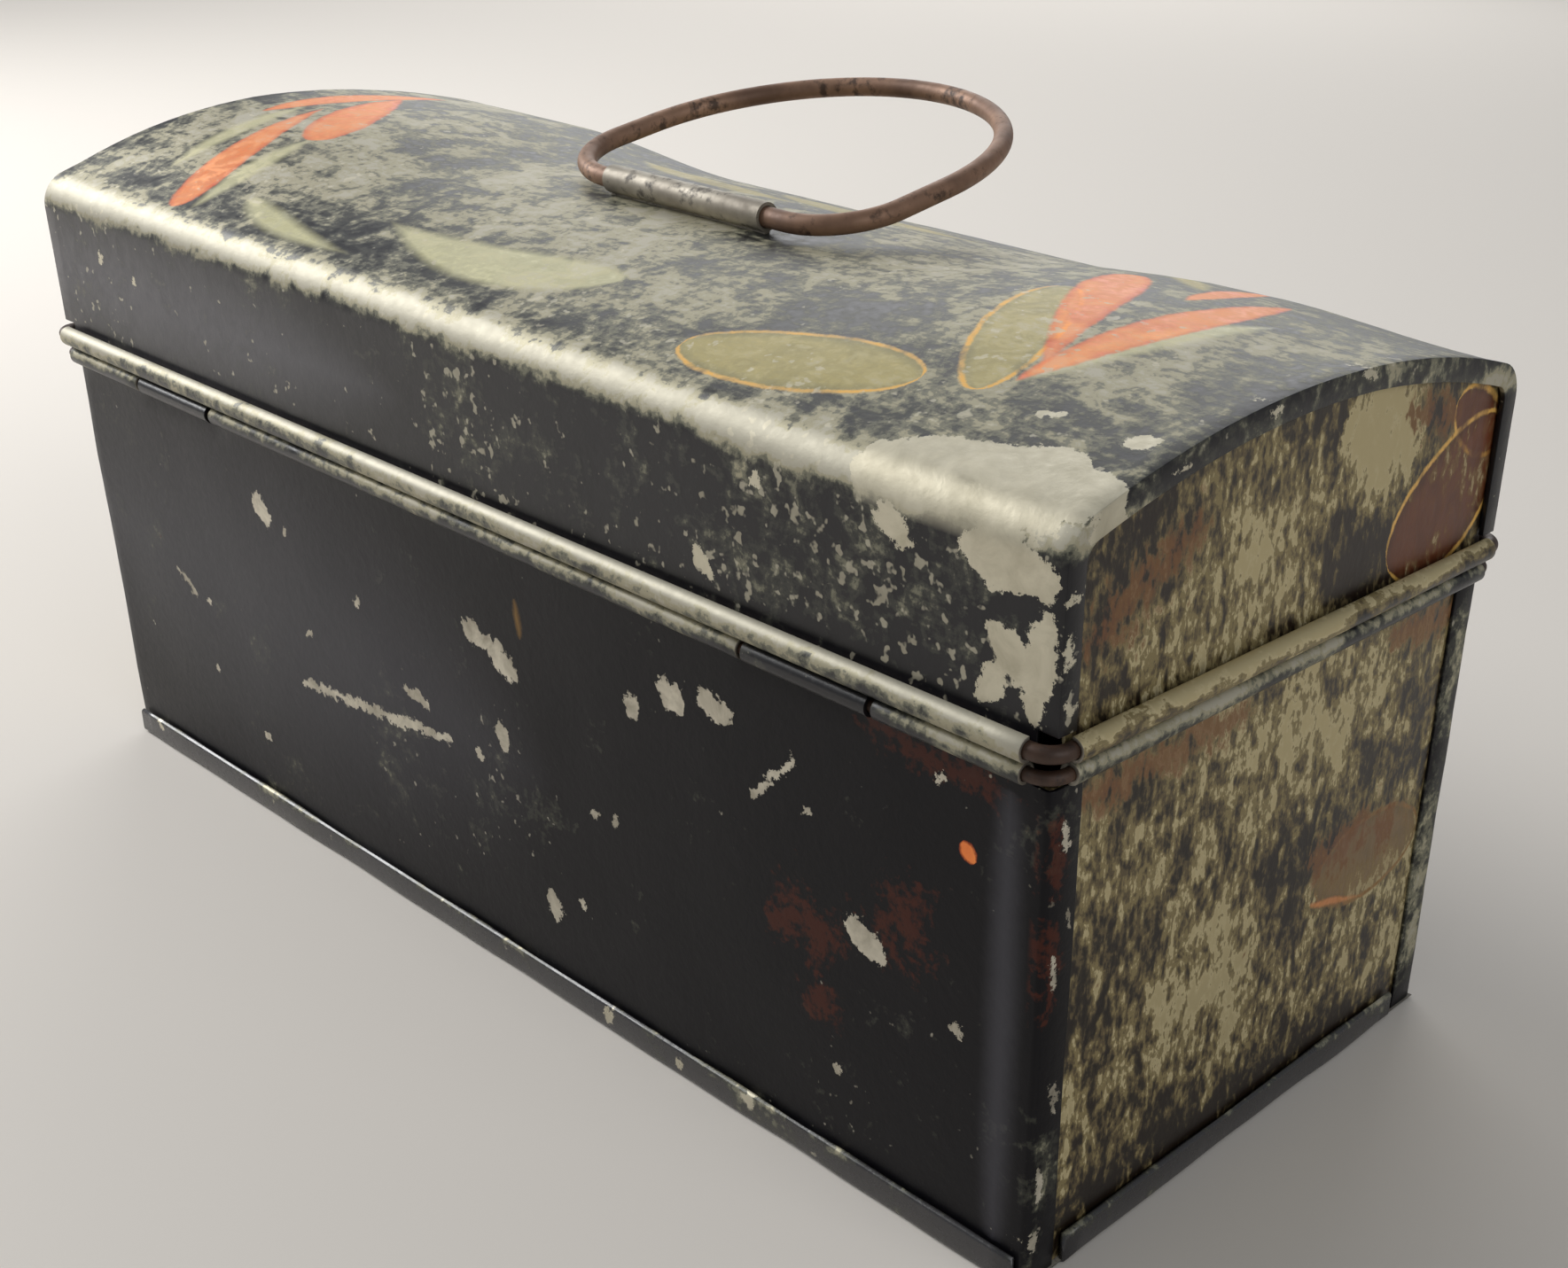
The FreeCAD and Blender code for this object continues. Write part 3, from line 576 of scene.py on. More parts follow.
            # Pin chips, closer together where the sheet is blotched.
            pin = add("TexNoise", ground.mm, at={"Scale": 1 / PIN, "Detail": 2.0, "Roughness": 0.5})
            pin = add("Math", ground.blotch, 0.5, pin, operation="MULTIPLY_ADD")
            low, high = (place - self.flecks for place in PIN_FROM)
            chips = add("MapRange", pin, low, high, 0.0, PIN_COVER)
        for mark in self._marks(Coat.BARE):
            reach = add("Math", ground.speck, CHIP_SPECKS, ground.lay(mark), operation="MULTIPLY_ADD")
            chip = ground.on_face(add("MapRange", reach, *CHIP_FROM, 0.0, 1.0), mark)
            chips = chip if chips is None else add("Math", chips, chip, operation="MAXIMUM")
        return chips


@dataclass(frozen=True)
class WornMetal:
    """Metal without varnish, tinplate or iron wire: clouded, dull and spotted with brown."""

    name: str
    bright: str = "#9a958a"
    dull: str = "#6a6258"
    stain: str = "#3c2c20"
    gloss: float = 0.42
    metal: float = 0.7
    stained_metal: float = 0.1
    stain_cover: float = 0.85
    cloud: float = 14.0
    speck: float = 2.2
    bump: float = 0.25
    bump_high: float = 0.1

    def make(self) -> Material:
        """Build the material.

        Returns:
            The finished material.
        """
        material, add, mm = start_material(self.name)
        cloud = add("TexNoise", mm, at={"Scale": 1 / self.cloud, "Detail": 5.0, "Roughness": 0.6})
        speck = add("TexNoise", mm, at={"Scale": 1 / self.speck, "Detail": 4.0, "Roughness": 0.65})
        base = add("MapRange", cloud, 0.35, 0.65, 0.0, 1.0)
        spots = add("Math", cloud, speck, operation="ADD")
        spots = add("MapRange", spots, 1.06, 1.22, 0.0, self.stain_cover)
        colour = linear(self.dull)
        for share, over in ((base, self.bright), (spots, self.stain)):
            colour = add("Mix", share, at=dict(zip(MIX_ENDS, (colour, linear(over)))), **COLOUR_MIX)
        metal = add("MapRange", spots, 0.0, self.stain_cover, self.metal, self.stained_metal)
        rough = add("MapRange", speck, 0.3, 0.7, self.gloss - 0.06, self.gloss + 0.16)
        normal = add("Bump", at={"Strength": self.bump, "Distance": self.bump_high * MM, "Height": speck})
        shader = add("BsdfPrincipled", at={"Base Color": colour, "Roughness": rough, "Metallic": metal,
                                           "Normal": normal})
        add("OutputMaterial", shader)
        return material


# Marks of the lid: painted leaves and drops on the dome, then chips, rubbed places and a painted sheen on the
# rear wall.
LID_MARKS = (
    *strokes(Coat.OUTLINED, Face.TOP, Tip.ROUND, (-69, -6, -85.5, 30, 11), (-41, 37.5, -77.5, 31, 14)),
    *strokes(Coat.SAGE, Face.TOP, Tip.LEAF, (-88, 27, -97.5, -14, 7.5), (94, 36, 101, 5, 6),
             (74.5, 43, 79.5, 17, 6)),
    *strokes(Coat.SAGE, Face.TOP, Tip.DROP, (67, 36.5, 30, 41.5, 6, 1.5), (-17, 28, 36, 30.5, 13, -4.5)),
    *strokes(Coat.OLIVE, Face.TOP, Tip.LEAF, (-62, -40, -79, -24, 6), (50, -30, 5, -25, 9, 2)),
    *strokes(Coat.OLIVE, Face.TOP, Tip.DROP, (17, -34, -36, -30.5, 10, 3)),
    *strokes(Coat.ORANGE, Face.TOP, Tip.DROP, (-66, -25, -88.5, 22, 9)),
    *strokes(Coat.ORANGE, Face.TOP, Tip.LEAF, (-88, 26, -89.5, -30, 7, 2), (-83, -14, -79, -40, 4.5)),
    *strokes(Coat.ORANGE, Face.TOP, Tip.DROP, (78.5, 43.5, 97, 4, 8)),
    *strokes(Coat.ORANGE, Face.TOP, Tip.LEAF, (104, 12, 104, -26, 8)),
    *strokes(Coat.ORANGE, Face.TOP, Tip.DROP, (78, 17, 101, -15, 11)),
    *strokes(Coat.BARE, Face.TOP, Tip.ROUND, (-82, 46.5, -118, 41, 13), (-99, 40, -109, 37, 7),
             (-108.5, 31.5, -112, 28.5, 3.6), (-96, 31, -99, 29, 1.8)),
    *strokes(Coat.BARE, Face.END, Tip.ROUND, (47.4, 92.5, 47.3, 88.5, 1.5), (46.8, 84.6, 46.6, 82.4, 1.4),
             (47.2, 97.4, 47, 95.8, 1.2), (30.4, 107, 27.6, 107.6, 1.1), (13, 110.2, 10.2, 110.6, 1.1),
             (-7, 111, -10, 110.8, 1)),
    *strokes(Coat.BARE, Face.LONG, Tip.ROUND, (-100, 99, -115, 98, 6.5), (-105, 91, -112, 85.5, 5),
             (-113.2, 95, -112, 81, 4.5), (-103.5, 81, -107.5, 86.5, 3.5), (-87.5, 99.8, -92.5, 96.5, 4),
             (-55, 86, -58, 82, 3), (-66, 98.5, -67.5, 97, 2), (98.5, 95.6, 98, 93.6, 1.6),
             (87, 93, 87.6, 91, 1.4)),
    *rubs(Face.TOP, (60, 10, -35, 12, 34, 0.16), (-20, 24, -45, 27, 12, 0.25),
          (-96, 18, -113, -10, 12, -0.04), (-10, 0, -26, -4, 12, -0.3), (110, 14, 60, 20, 40, 0.14),
          (-99, 26, -108, -36, 16, 0.14)),
    *rubs(Face.LONG, (117, 90, 30, 90, 18, 0.26), (30, 92, -112, 90, 14, 0.16)),
    # Painted sheen: a pale layer along the far part of the rear wall, where the gloss catches the light.
    Mark(Coat.HAZE, Face.LONG, (150, 90), (10, 90), 30, amount=0.8),
)

# Marks of the body: chips and scratches on the rear, touches of paint, rust, rubbed places, a painted
# highlight down a crease and a painted sheen on the far end.
BODY_MARKS = (
    *strokes(Coat.BARE, Face.LONG, Tip.LINE, (50.8, 31.3, 5.8, 36, 1.7), (-63.8, 53, -72.5, 62.2, 1)),
    *strokes(Coat.BARE, Face.LONG, Tip.ROUND, (-1.9, 36.3, -0.3, 36.1, 2.2), (18.6, 41.6, 12, 40.2, 2.4),
             (0.6, 58.4, -5.2, 56, 4), (-5, 57.5, -12.6, 52.8, 4.2), (-38, 59, -40.8, 56.6, 2.8),
             (-45.5, 64, -50.5, 61, 4.4), (-53.5, 64.8, -60.5, 63, 4.2), (-28.2, 37.2, -30, 36.8, 2),
             (-33.2, 37.9, -35, 37.5, 2), (-74, 55.8, -75, 54.6, 1.4), (-17.2, 18.6, -18.8, 14.2, 3.2),
             (-24.2, 20.2, -25.2, 19.2, 1.9), (58.4, 63, 54.6, 58.6, 4), (50, 59, 48.8, 58.6, 2),
             (90, 40.8, 84, 37.2, 1.3), (80.6, 37.2, 79.2, 37, 1.2), (46.6, 41.8, 45.6, 40.8, 2.2),
             (30.2, 53, 29.6, 51.6, 1.8), (-7, 44, -8.2, 39.5, 3), (66.6, 16.2, 65.8, 14.2, 2.6),
             (80.8, 24.6, 80.4, 23, 1.4), (-97.6, 69.2, -98.2, 68, 1.8), (-80.2, 18.2, -80.8, 17, 1.6),
             (-101.4, 35, -102, 33.4, 1.6), (-82, 42.4, -88.6, 38.2, 4.6)),
    *strokes(Coat.BARE, Face.END, Tip.ROUND, (45, 69, 44.4, 64, 1.1), (46.2, 19, 45.6, 13, 1.5),
             (44.2, 31, 43.6, 26, 1), (45.8, 50, 45.4, 45, 1), (46.4, 9, 46.2, 5, 1.6),
             (43.4, 56, 43, 53, 0.9)),
    *strokes(Coat.ORANGE, Face.LONG, Tip.ROUND, (-101.4, 61.6, -103.6, 59.2, 2.4)),
    *strokes(Coat.OLIVE, Face.LONG, Tip.ROUND, (-13.6, 66, -14.4, 59.8, 2)),
    *strokes(Coat.RUST, Face.LONG, Tip.ROUND, (-66, 36, -82, 38, 16), (-84, 52, -98, 40, 16),
             (-74, 28, -82, 26, 10), (-82, 72, -113, 70, 7)),
    *strokes(Coat.RUST, Face.END, Tip.ROUND, (46, 70, 46, 40, 5)),
    *rubs(Face.END, (47, 2, 45, 24, 6, 0.34), (-45, 4, -45, 72, 9, 0.55)),
    *rubs(Face.LONG, (114, 44, 10, 40, 60, 0.16)),
    # Painted highlight: a pale band down the left corner where a soft crease catches the light; the sheet is
    # flat.
    Mark(Coat.HAZE, Face.LONG, (-108.6, 71), (-109, 5), 8, tip=Tip.LINE, amount=0.5),
    # Painted sheen: a pale layer over the far end of the rear wall.
    Mark(Coat.HAZE, Face.LONG, (140, 46), (-20, 38), 84, amount=0.4),
)
FOOT_CHIPS = strokes(Coat.BARE, Face.LONG, Tip.ROUND, (-30.2, 3.6, -32, 2.6, 3.2),
                     (-46.6, 2.6, -48.4, 1.8, 2.2), (-62.4, 4.2, -64.2, 3.4, 2.4),
                     (105.2, 4.4, 106.2, 3.6, 2))

# Marks of the ends: rubbed and kept places, rust, and brown petals with a thin outline.
LID_END_MARKS = (
    *rubs(Face.END, (40, 88, -4, 96, 18, 0.2), (-6, 104, -25, 97, 13, 0.9), (-4, 84, -30, 86, 9, -0.3)),
    *strokes(Coat.RUST, Face.END, Tip.ROUND, (45, 88, 20, 100, 12), (-20, 103, -36, 100, 9)),
    *strokes(Coat.PETAL, Face.END, Tip.ROUND, (-34, 102, -47.5, 94, 9), (-20.5, 82.5, -48, 96, 18, -1.5)),
)
BODY_END_MARKS = (
    *rubs(Face.END, (46, 6, -46, 6, 10, -0.5), (20, 54, 4, 20, 26, 0.16), (40, 60, -34, 62, 16, 0.2),
          (2, 44, -12, 38, 16, -0.2), (42, 20, -4, 16, 16, -0.14)),
    *strokes(Coat.PETAL, Face.END, Tip.ROUND, (-14, 35, -42, 34, 14)),
    *strokes(Coat.RUST, Face.END, Tip.ROUND, (46, 69.5, 6, 70, 11), (-24, 70, -47, 69, 9),
             (-10, 40, -40, 36, 12)),
    *strokes(Coat.ORANGE, Face.END, Tip.DROP, (-13, 32, -28, 27.5, 1.4)),
)

# Varnish of the lid: satin black that is rubbed olive-grey over the crown and pale along the eave.
LID_JAPAN = JapannedTin(
    "japanned_tinplate_lid", rub=-0.38, contrast=0.9, flecks=0.09, flake=5.5, shine=0.38, marks=LID_MARKS,
    lines=(RubLine(2, 112.5, 18.0, 0.52), RubLine(2, 103.0, 3.8, 0.74), RubLine(0, -116.0, 4.0, -0.12),
           RubLine(0, 116.0, 4.0, -0.12)))
# Varnish of the lid's rolled rim: mostly gone, a broken pale line along the box.
LID_BEAD = JapannedTin("rubbed_japan_lid_bead", rub=0.14, contrast=0.9, lines=(RubLine(2, 80.4, 2.2, 0.5),))
# Varnish of the long walls: deep black with little shine, sharp pale chips and painted sheen at the far end.
BODY_JAPAN = JapannedTin(
    "japanned_tinplate_body", film=("#0a0a0e", "#131115"), rub=-0.44, contrast=0.9, shine=0.17,
    lines=(RubLine(0, -115.2, 2.0, 0.04), RubLine(0, 115.2, 2.0, 0.04)), marks=BODY_MARKS,
    tin=("#8f8878", "#cfc8b6"), olive=("#7d5c2a", "#b5883e"), flecks=0.02, scuff_run=(0.2, 1.0, 0.6))
# Varnish of the body's rolled rim: darker than the lid's, worn only along its top.
BODY_BEAD = JapannedTin("rubbed_japan_body_bead", rub=-0.14, lines=(RubLine(2, 75.8, 1.2, 0.4),))
# Varnish of the foot's folded rim: glossier, its film painted grey as a painted highlight along the fold.
BODY_FOOT = JapannedTin(
    "rubbed_japan_foot_rim", film=("#303034", "#363331"), rub=-0.34, gloss=0.18, shine=0.7,
    lines=(RubLine(2, 4.8, 1.6, 0.3),), marks=FOOT_CHIPS, flecks=0.03)
# Varnish of the lid's ends: scrubbed to an olive and brown mottle that runs upright.
LID_END = JapannedTin(
    "rubbed_japan_lid_end", film=("#12100e", "#2e1e12"), tones=END_TONES, bare_from=(0.36, 0.5),
    rub=-0.04, contrast=1.1, shine=0.4, flake=3.8, grit=1.5, streak=(1.0, 1.0, 0.6), scuff=1.0,
    scuff_run=(1.0, 0.9, 0.2), rust="#6f4527", marks=LID_END_MARKS)
# Varnish of the body's ends: the same mottle, more worn, with a faded petal.
BODY_END = replace(
    LID_END, name="rubbed_japan_body_end", film=("#110f0c", "#281b10"), rub=0.06, rust="#744b2d",
    petal=("#6a573a", "#8a6f48"), outline="#8f6c40", orange=("#9a5c34", "#cf8a52"),
    marks=BODY_END_MARKS)
# Varnish of the lid ends' rolled rims: the mottle drawn out along the rim.
END_BEAD = JapannedTin(
    "rubbed_japan_end_bead", film=("#15120f", "#181619"), tones=END_TONES, bare_from=(0.36, 0.5), rub=-0.02,
    contrast=1.1, scuff=1.0, scuff_run=(1.0, 0.16, 1.0), lines=(RubLine(2, 80.2, 2.4, 0.5),))
# Varnish of the hinge straps: nearly whole, so that the knuckles stay dark in their notches.
HINGE_JAPAN = JapannedTin("worn_japan_hinge", rub=-0.3, flecks=0.05)
# Varnish of the hasp: half rubbed off by fingers, grey with dark rests.
HASP_JAPAN = JapannedTin("worn_japan_hasp", rub=0.1, flecks=0.05)
# Iron wire of the ring: brown with dark spots and hardly any gleam.
RING_WIRE = WornMetal("rusted_iron_wire", bright="#a58168", dull="#725645", stain="#34231a", gloss=0.5,
                      metal=0.3)
# Tinplate of the ring's tube: pale grey with a soft gleam and dark specks.
TUBE_TIN = WornMetal("worn_tinplate_tube", bright="#b0a899", dull="#7f776a", stain="#3a322a", gloss=0.5,
                     metal=0.45)
# Iron wire in the rims and of the staple: blackish brown, with little gleam.
RIM_WIRE = WornMetal("blackened_iron_wire", bright="#5a4234", dull="#30231c", stain="#17100c", gloss=0.44,
                     metal=0.3)
# Tinplate inside the box: grey metal with a dull gleam and brown spots.
INNER_TIN = WornMetal("dull_tinplate")


@dataclass(frozen=True)
class Lamp:
    """Soft square lamp that looks at the box; place and size in metres, power in watts."""

    name: str
    place: Point
    size: float
    power: float


@dataclass(frozen=True)
class Studio:
    """Camera at the photograph's angle, pale floor and soft lamps."""

    camera_at: Point = (-236.991, 198.945, 176.132)
    right: Point = (-0.74755086, -0.66298599, 0.04021553)
    down: Point = (-0.3383892, 0.32805243, -0.88197186)
    ahead: Point = (0.57154218, -0.67292732, -0.46958317)
    focal_px: float = 2208.59
    centre_px: Flat = (1138.66, 896.30)
    sensor: float = 36.0
    nearest: float = 0.01
    floor_half: float = 3.0
    floor_colour: str = "#e0dad2"
    floor_rough: float = 0.9
    floor_shine: float = 0.2
    lamps: tuple[Lamp, ...] = (
        Lamp("key_softbox", (0.92, 0.31, 0.66), 0.6, 11.5),
        Lamp("front_softbox", (0.97, -1.14, 0.8), 1.3, 9.0),
        Lamp("end_fill", (-1.4, 0.1, 0.7), 1.0, 5.0),
    )
    sky_colour: str = "#d9dde2"
    sky_strength: float = 0.36

    def build(self) -> None:
        """Set up the view, the camera, the floor and the lamps."""
        bpy.context.scene.view_settings.view_transform = "Standard"
        self._camera()
        self._floor()
        self._lamps()

    def _camera(self) -> None:
        """Place the camera of the photograph."""
        data = bpy.data.cameras.new("photo_camera")
        data.sensor_width = self.sensor
        data.lens = self.focal_px / IMAGE_WIDE * self.sensor
        data.shift_x = (IMAGE_WIDE / 2 - self.centre_px[0]) / IMAGE_WIDE
        data.shift_y = (self.centre_px[1] - IMAGE_HIGH / 2) / IMAGE_WIDE
        data.clip_start = self.nearest
        camera = bpy.data.objects.new("photo_camera", data)
        turn = Matrix((self.right, -Vector(self.down), -Vector(self.ahead))).transposed().to_4x4()
        camera.matrix_world = Matrix.Translation(Vector(self.camera_at) * MM) @ turn
        bpy.context.scene.collection.objects.link(camera)
        bpy.context.scene.camera = camera

    def _floor(self) -> None:
        """Lay the floor: matt pale paper, a warm white that takes soft shadows."""
        bm = bmesh.new()
        bmesh.ops.create_grid(bm, x_segments=4, y_segments=4, size=self.floor_half)
        mesh = bpy.data.meshes.new("floor")
        bm.to_mesh(mesh)
        bm.free()
        floor = bpy.data.objects.new("floor", mesh)
        material = bpy.data.materials.new("matt_paper_floor")
        material.use_nodes = True
        shader = material.node_tree.nodes["Principled BSDF"]
        shader.inputs["Base Color"].default_value = linear(self.floor_colour)
        shader.inputs["Roughness"].default_value = self.floor_rough
        shader.inputs["Specular IOR Level"].default_value = self.floor_shine
        mesh.materials.append(material)
        bpy.context.scene.collection.objects.link(floor)

    def _lamps(self) -> None:
        """Hang the soft lamps and set the sky."""
        for lamp in self.lamps:
            data = bpy.data.lights.new(lamp.name, "AREA")
            data.size = lamp.size
            data.energy = lamp.power
            light = bpy.data.objects.new(lamp.name, data)
            light.location = lamp.place
            light.rotation_euler = (-Vector(lamp.place)).to_track_quat("-Z", "Y").to_euler()
            bpy.context.scene.collection.objects.link(light)
        world = bpy.data.worlds.new("studio")
        world.use_nodes = True
        back = world.node_tree.nodes["Background"]
        back.inputs["Color"].default_value = linear(self.sky_colour)
        back.inputs["Strength"].default_value = self.sky_strength
        bpy.context.scene.world = world


def dress(node: str, material: Material) -> None:
    """Give a node of the frame its finish.

    Args:
        node: name of the node.
        material: its material.
    """
    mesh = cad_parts[node].data
    mesh.materials.clear()
    mesh.materials.append(material)
    LOG.info("dressed %s", node)


def sweep(bm: Mesh, edges: list[Edge], moves: list[Point]) -> list[Edge]:
    """Extrude a line of edges through a list of moves.

    Args:
        bm: mesh under work.
        edges: edges to start from.
        moves: vectors, one for each row of faces.

    Returns:
        The edges of the last row.
    """
    for move in moves:
        grown = bmesh.ops.extrude_edge_only(bm, edges=edges)["geom"]
        verts = {part for part in grown if isinstance(part, Vert)}
        bmesh.ops.translate(bm, vec=move, verts=list(verts))
        edges = [part for part in grown if isinstance(part, Edge) and verts.issuperset(part.verts)]
    return edges


def roll(bm: Mesh, edges: list[Edge], lift: float, wire: Point, axis: Point, degrees: float) -> None:
    """Carry a sheet's edge up or down to a wire and roll it round.

    Args:
        bm: mesh under work.
        edges: the edge.
        lift: height from the edge to the wire's middle.
        wire: a point on the wire's axis.
        axis: direction of that axis.
        degrees: how far the edge goes round.
    """
    edges = sweep(bm, edges, [(0, 0, lift)])
    flat = set(bm.faces)
    verts = {vert for edge in edges for vert in edge.verts}
    bmesh.ops.spin(bm, geom=[*edges, *verts], cent=wire, axis=axis, dvec=(0, 0, 0),
                   angle=math.radians(degrees), steps=CURL_STEPS, use_duplicate=False)
    for face in set(bm.faces) - flat:
        face.material_index = INSIDE


def turn_about_z(bm: Mesh, degrees: float) -> None:
    """Turn a whole mesh about the box's upright axis."""
    turn = Matrix.Rotation(math.radians(degrees), 3, "Z")
    bmesh.ops.rotate(bm, cent=(0, 0, 0), matrix=turn, verts=bm.verts)


def close_up(bm: Mesh, is_known: Callable[[Vector], bool], outwards: Point) -> None:
    """Merge a sheet's seams and turn all of its faces outwards.

    Args:
        bm: mesh under work.
        is_known: tells from a face's middle whether the way that it has to look is known.
        outwards: that way.
    """
    bmesh.ops.remove_doubles(bm, verts=bm.verts, dist=MERGE)
    bmesh.ops.recalc_face_normals(bm, faces=bm.faces)
    bm.normal_update()
    known = next(face for face in bm.faces if is_known(face.calc_center_median()))
    if known.normal.dot(outwards) < 0:
        bmesh.ops.reverse_faces(bm, faces=bm.faces)


def steps_between(low: float, high: float, most: float, stops: tuple[float, ...] = ()) -> list[float]:
    """Share a length out into steps that also meet some stops.

    Args:
        low: start.
        high: end.
        most: longest step.
        stops: places on the way that have to be met.

    Returns:
        Places after the start, in order.
    """
    places = []
    marks = [low, *sorted(stop for stop in stops if low < stop < high), high]
    for near, far in zip(marks, marks[1:]):
        count = math.ceil((far - near) / most)
        places += [near + (far - near) * i / count for i in range(1, count + 1)]
    return places


class Outline:
    """Line of edges drawn by straight runs and spun bends, in millimetres."""

    def __init__(self, bm: Mesh, start: Point, axis: Point) -> None:
        """Start the line.

        Args:
            bm: mesh under work.
            start: first point.
            axis: axis about which bends turn.
        """
        self.bm = bm
        self.axis = axis
        self.tip = bm.verts.new(start)

    def run(self, *points: Point) -> None:
        """Go straight to each point in turn.

        Args:
            points: the points.
        """
        for point in points:
            new = bmesh.ops.extrude_vert_indiv(self.bm, verts=[self.tip])["verts"][0]
            new.co = point
            self.tip = new

    def bend(self, centre: Point, degrees: float, steps: int) -> None:
        """Turn about a centre.

        Args:
            centre: the centre.
            degrees: how far it turns.
            steps: edges of the bend.
        """
        spun = bmesh.ops.spin(self.bm, geom=[self.tip], cent=centre, axis=self.axis, dvec=(0, 0, 0),
                              angle=math.radians(degrees), steps=steps, use_duplicate=False)
        self.tip = next(part for part in spun["geom_last"] if isinstance(part, Vert))


def share_of(value: float, low: float, high: float) -> float:
    """Go evenly from 0 at low to 1 at high."""
    return max(0.0, min(1.0, (value - low) / (high - low)))


def smooth_step(value: float, low: float, high: float) -> float:
    """Go smoothly from 0 at low to 1 at high."""
    share = share_of(value, low, high)
    return share * share * (3 - 2 * share)


@dataclass(frozen=True)
class Dents:
    """Hollows of a hand-worked sheet in millimetres; a point sinks by up to twice the depth."""

    depth: float
    size: float
    seed: float = 0.0


def make_uneven(bm: Mesh, dents: tuple[Dents, ...], seed: float = 0.0) -> None:
    """Dent a sheet's flat faces inwards a little, so that nothing that moves past them touches.

    Args:
        bm: mesh under work, in millimetres.
        dents: the kinds of hollows, one after the other.
        seed: added to the seed of each.
    """
    for dent in dents:
        bm.normal_update()
        shift = (dent.seed + seed) * Vector((1, 2, 3))
        flat = [vert for vert in bm.verts if all(face.material_index == OUTSIDE for face in vert.link_faces)]
        moves = [vert.normal * (noise.noise(vert.co / dent.size + shift) - 1) * dent.depth for vert in flat]
        for vert, move in zip(flat, moves):
            vert.co += move


def join(bm: Mesh, part: Mesh) -> None:
    """Add one mesh to another.

    Args:
        bm: mesh that takes it up.
        part: mesh that is added and freed.
    """
    carrier = bpy.data.meshes.new("carrier")
    part.to_mesh(carrier)
    part.free()
    bm.from_mesh(carrier)
    bpy.data.meshes.remove(carrier)


def finish_piece(bm: Mesh, name: str, node: str, body: str, materials: tuple[Material, ...],
                 is_sheet: bool = True) -> None:
    """Turn a mesh into a piece of the box.

    Args:
        bm: mesh in millimetres, which is freed.
        name: name of the piece.
        node: node of the frame that it stands for.
        body: body that it rides on.
        materials: outside, inside and, for a sheet, bead.
        is_sheet: whether the mesh is a sheet's outer face, which gets the tin's thickness and worn edges.
    """
    bmesh.ops.transform(bm, matrix=Matrix.Scale(MM, 4), verts=bm.verts)
    mesh = bpy.data.meshes.new(name)
    bm.to_mesh(mesh)
    bm.free()
    mesh.shade_smooth()
    for material in materials:
        mesh.materials.append(material)
    piece = bpy.data.objects.new(name, mesh)
    bpy.context.scene.collection.objects.link(piece)
    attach(piece, body)
    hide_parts(node)
    if is_sheet:
        wall = piece.modifiers.new("tin_thickness", "SOLIDIFY")
        wall.thickness = SHEET_THICK * MM
        wall.offset = -1.0
        wall.use_even_offset = True
        wall.material_offset = NEXT_SLOT
        round_off = piece.modifiers.new("worn_edges", "BEVEL")
        round_off.width = EDGE_ROUND * MM
        round_off.segments = 2
        round_off.limit_method = "ANGLE"
        round_off.angle_limit = math.radians(EDGE_ANGLE)
        round_off.material = -1
    LOG.info("built %s for %s", name, node)


@dataclass
class RolledWall:
    """One wall of the body: a bent sheet with laps at the corners and a rim rolled over its wire."""

    half_run: float
    face: float
    bend: float
    lap: float
    curl_half: float
    notches: tuple[Flat, ...] = ()
    wire_in: float = 0.95
    foot: float = 0.5
    cut: float = 73.0
    rim: float = 75.0
    wrap: float = 280.0
    pitch: float = 4.5
    dents: tuple[Dents, ...] = (Dents(0.2, 22.0), Dents(0.08, 5.0, 7.0))

    def build(self, turn: float, seed: float) -> Mesh:
        """Build the wall's outer face.

        Args:
            turn: degrees that the wall is turned about Z from the rear.
            seed: shift of its unevenness.

        Returns:
            The mesh in millimetres.
        """
        bm = bmesh.new()
        side, near = self.half_run - self.bend, self.face - self.bend
        plan = Outline(bm, (-self.half_run, self.face - self.lap, self.foot), (0, 0, 1))
        plan.run((-self.half_run, near, self.foot))
        plan.bend((-side, near, self.foot), -90, CORNER_STEPS)
        stops = (-self.curl_half, self.curl_half, *(x for notch in self.notches for x in notch))
        plan.run(*((x, self.face, self.foot) for x in steps_between(-side, side, self.pitch, stops)))
        plan.bend((side, near, self.foot), -90, CORNER_STEPS)
        plan.run((self.half_run, self.face - self.lap, self.foot))
        heights = [self.foot, *steps_between(self.foot, self.cut, self.pitch)]
        top = sweep(bm, bm.edges[:], [(0, 0, b - a) for a, b in zip(heights, heights[1:])])
        rolled = [edge for edge in top if self._is_rolled(edge)]
        wire = (0, self.face + self.wire_in, self.rim)
        roll(bm, rolled, self.rim - self.cut, wire, (1, 0, 0), -self.wrap)
        close_up(bm, lambda at: at.y > self.face - TOUCH and at.z < self.cut / 2, (0, 1, 0))
        make_uneven(bm, self.dents, seed)
        turn_about_z(bm, turn)
        return bm

    def _is_rolled(self, edge: Edge) -> bool:
        """Tell whether the rim is rolled over a top edge.

        Args:
            edge: the edge.

        Returns:
            Whether it lies on the wall's flat, clear of the corners and the notches.
        """
        middle = (edge.verts[0].co + edge.verts[1].co) / 2
        in_notch = any(low < middle.x < high for low, high in self.notches)
        return abs(middle.x) < self.curl_half and middle.y > self.face - TOUCH and not in_notch


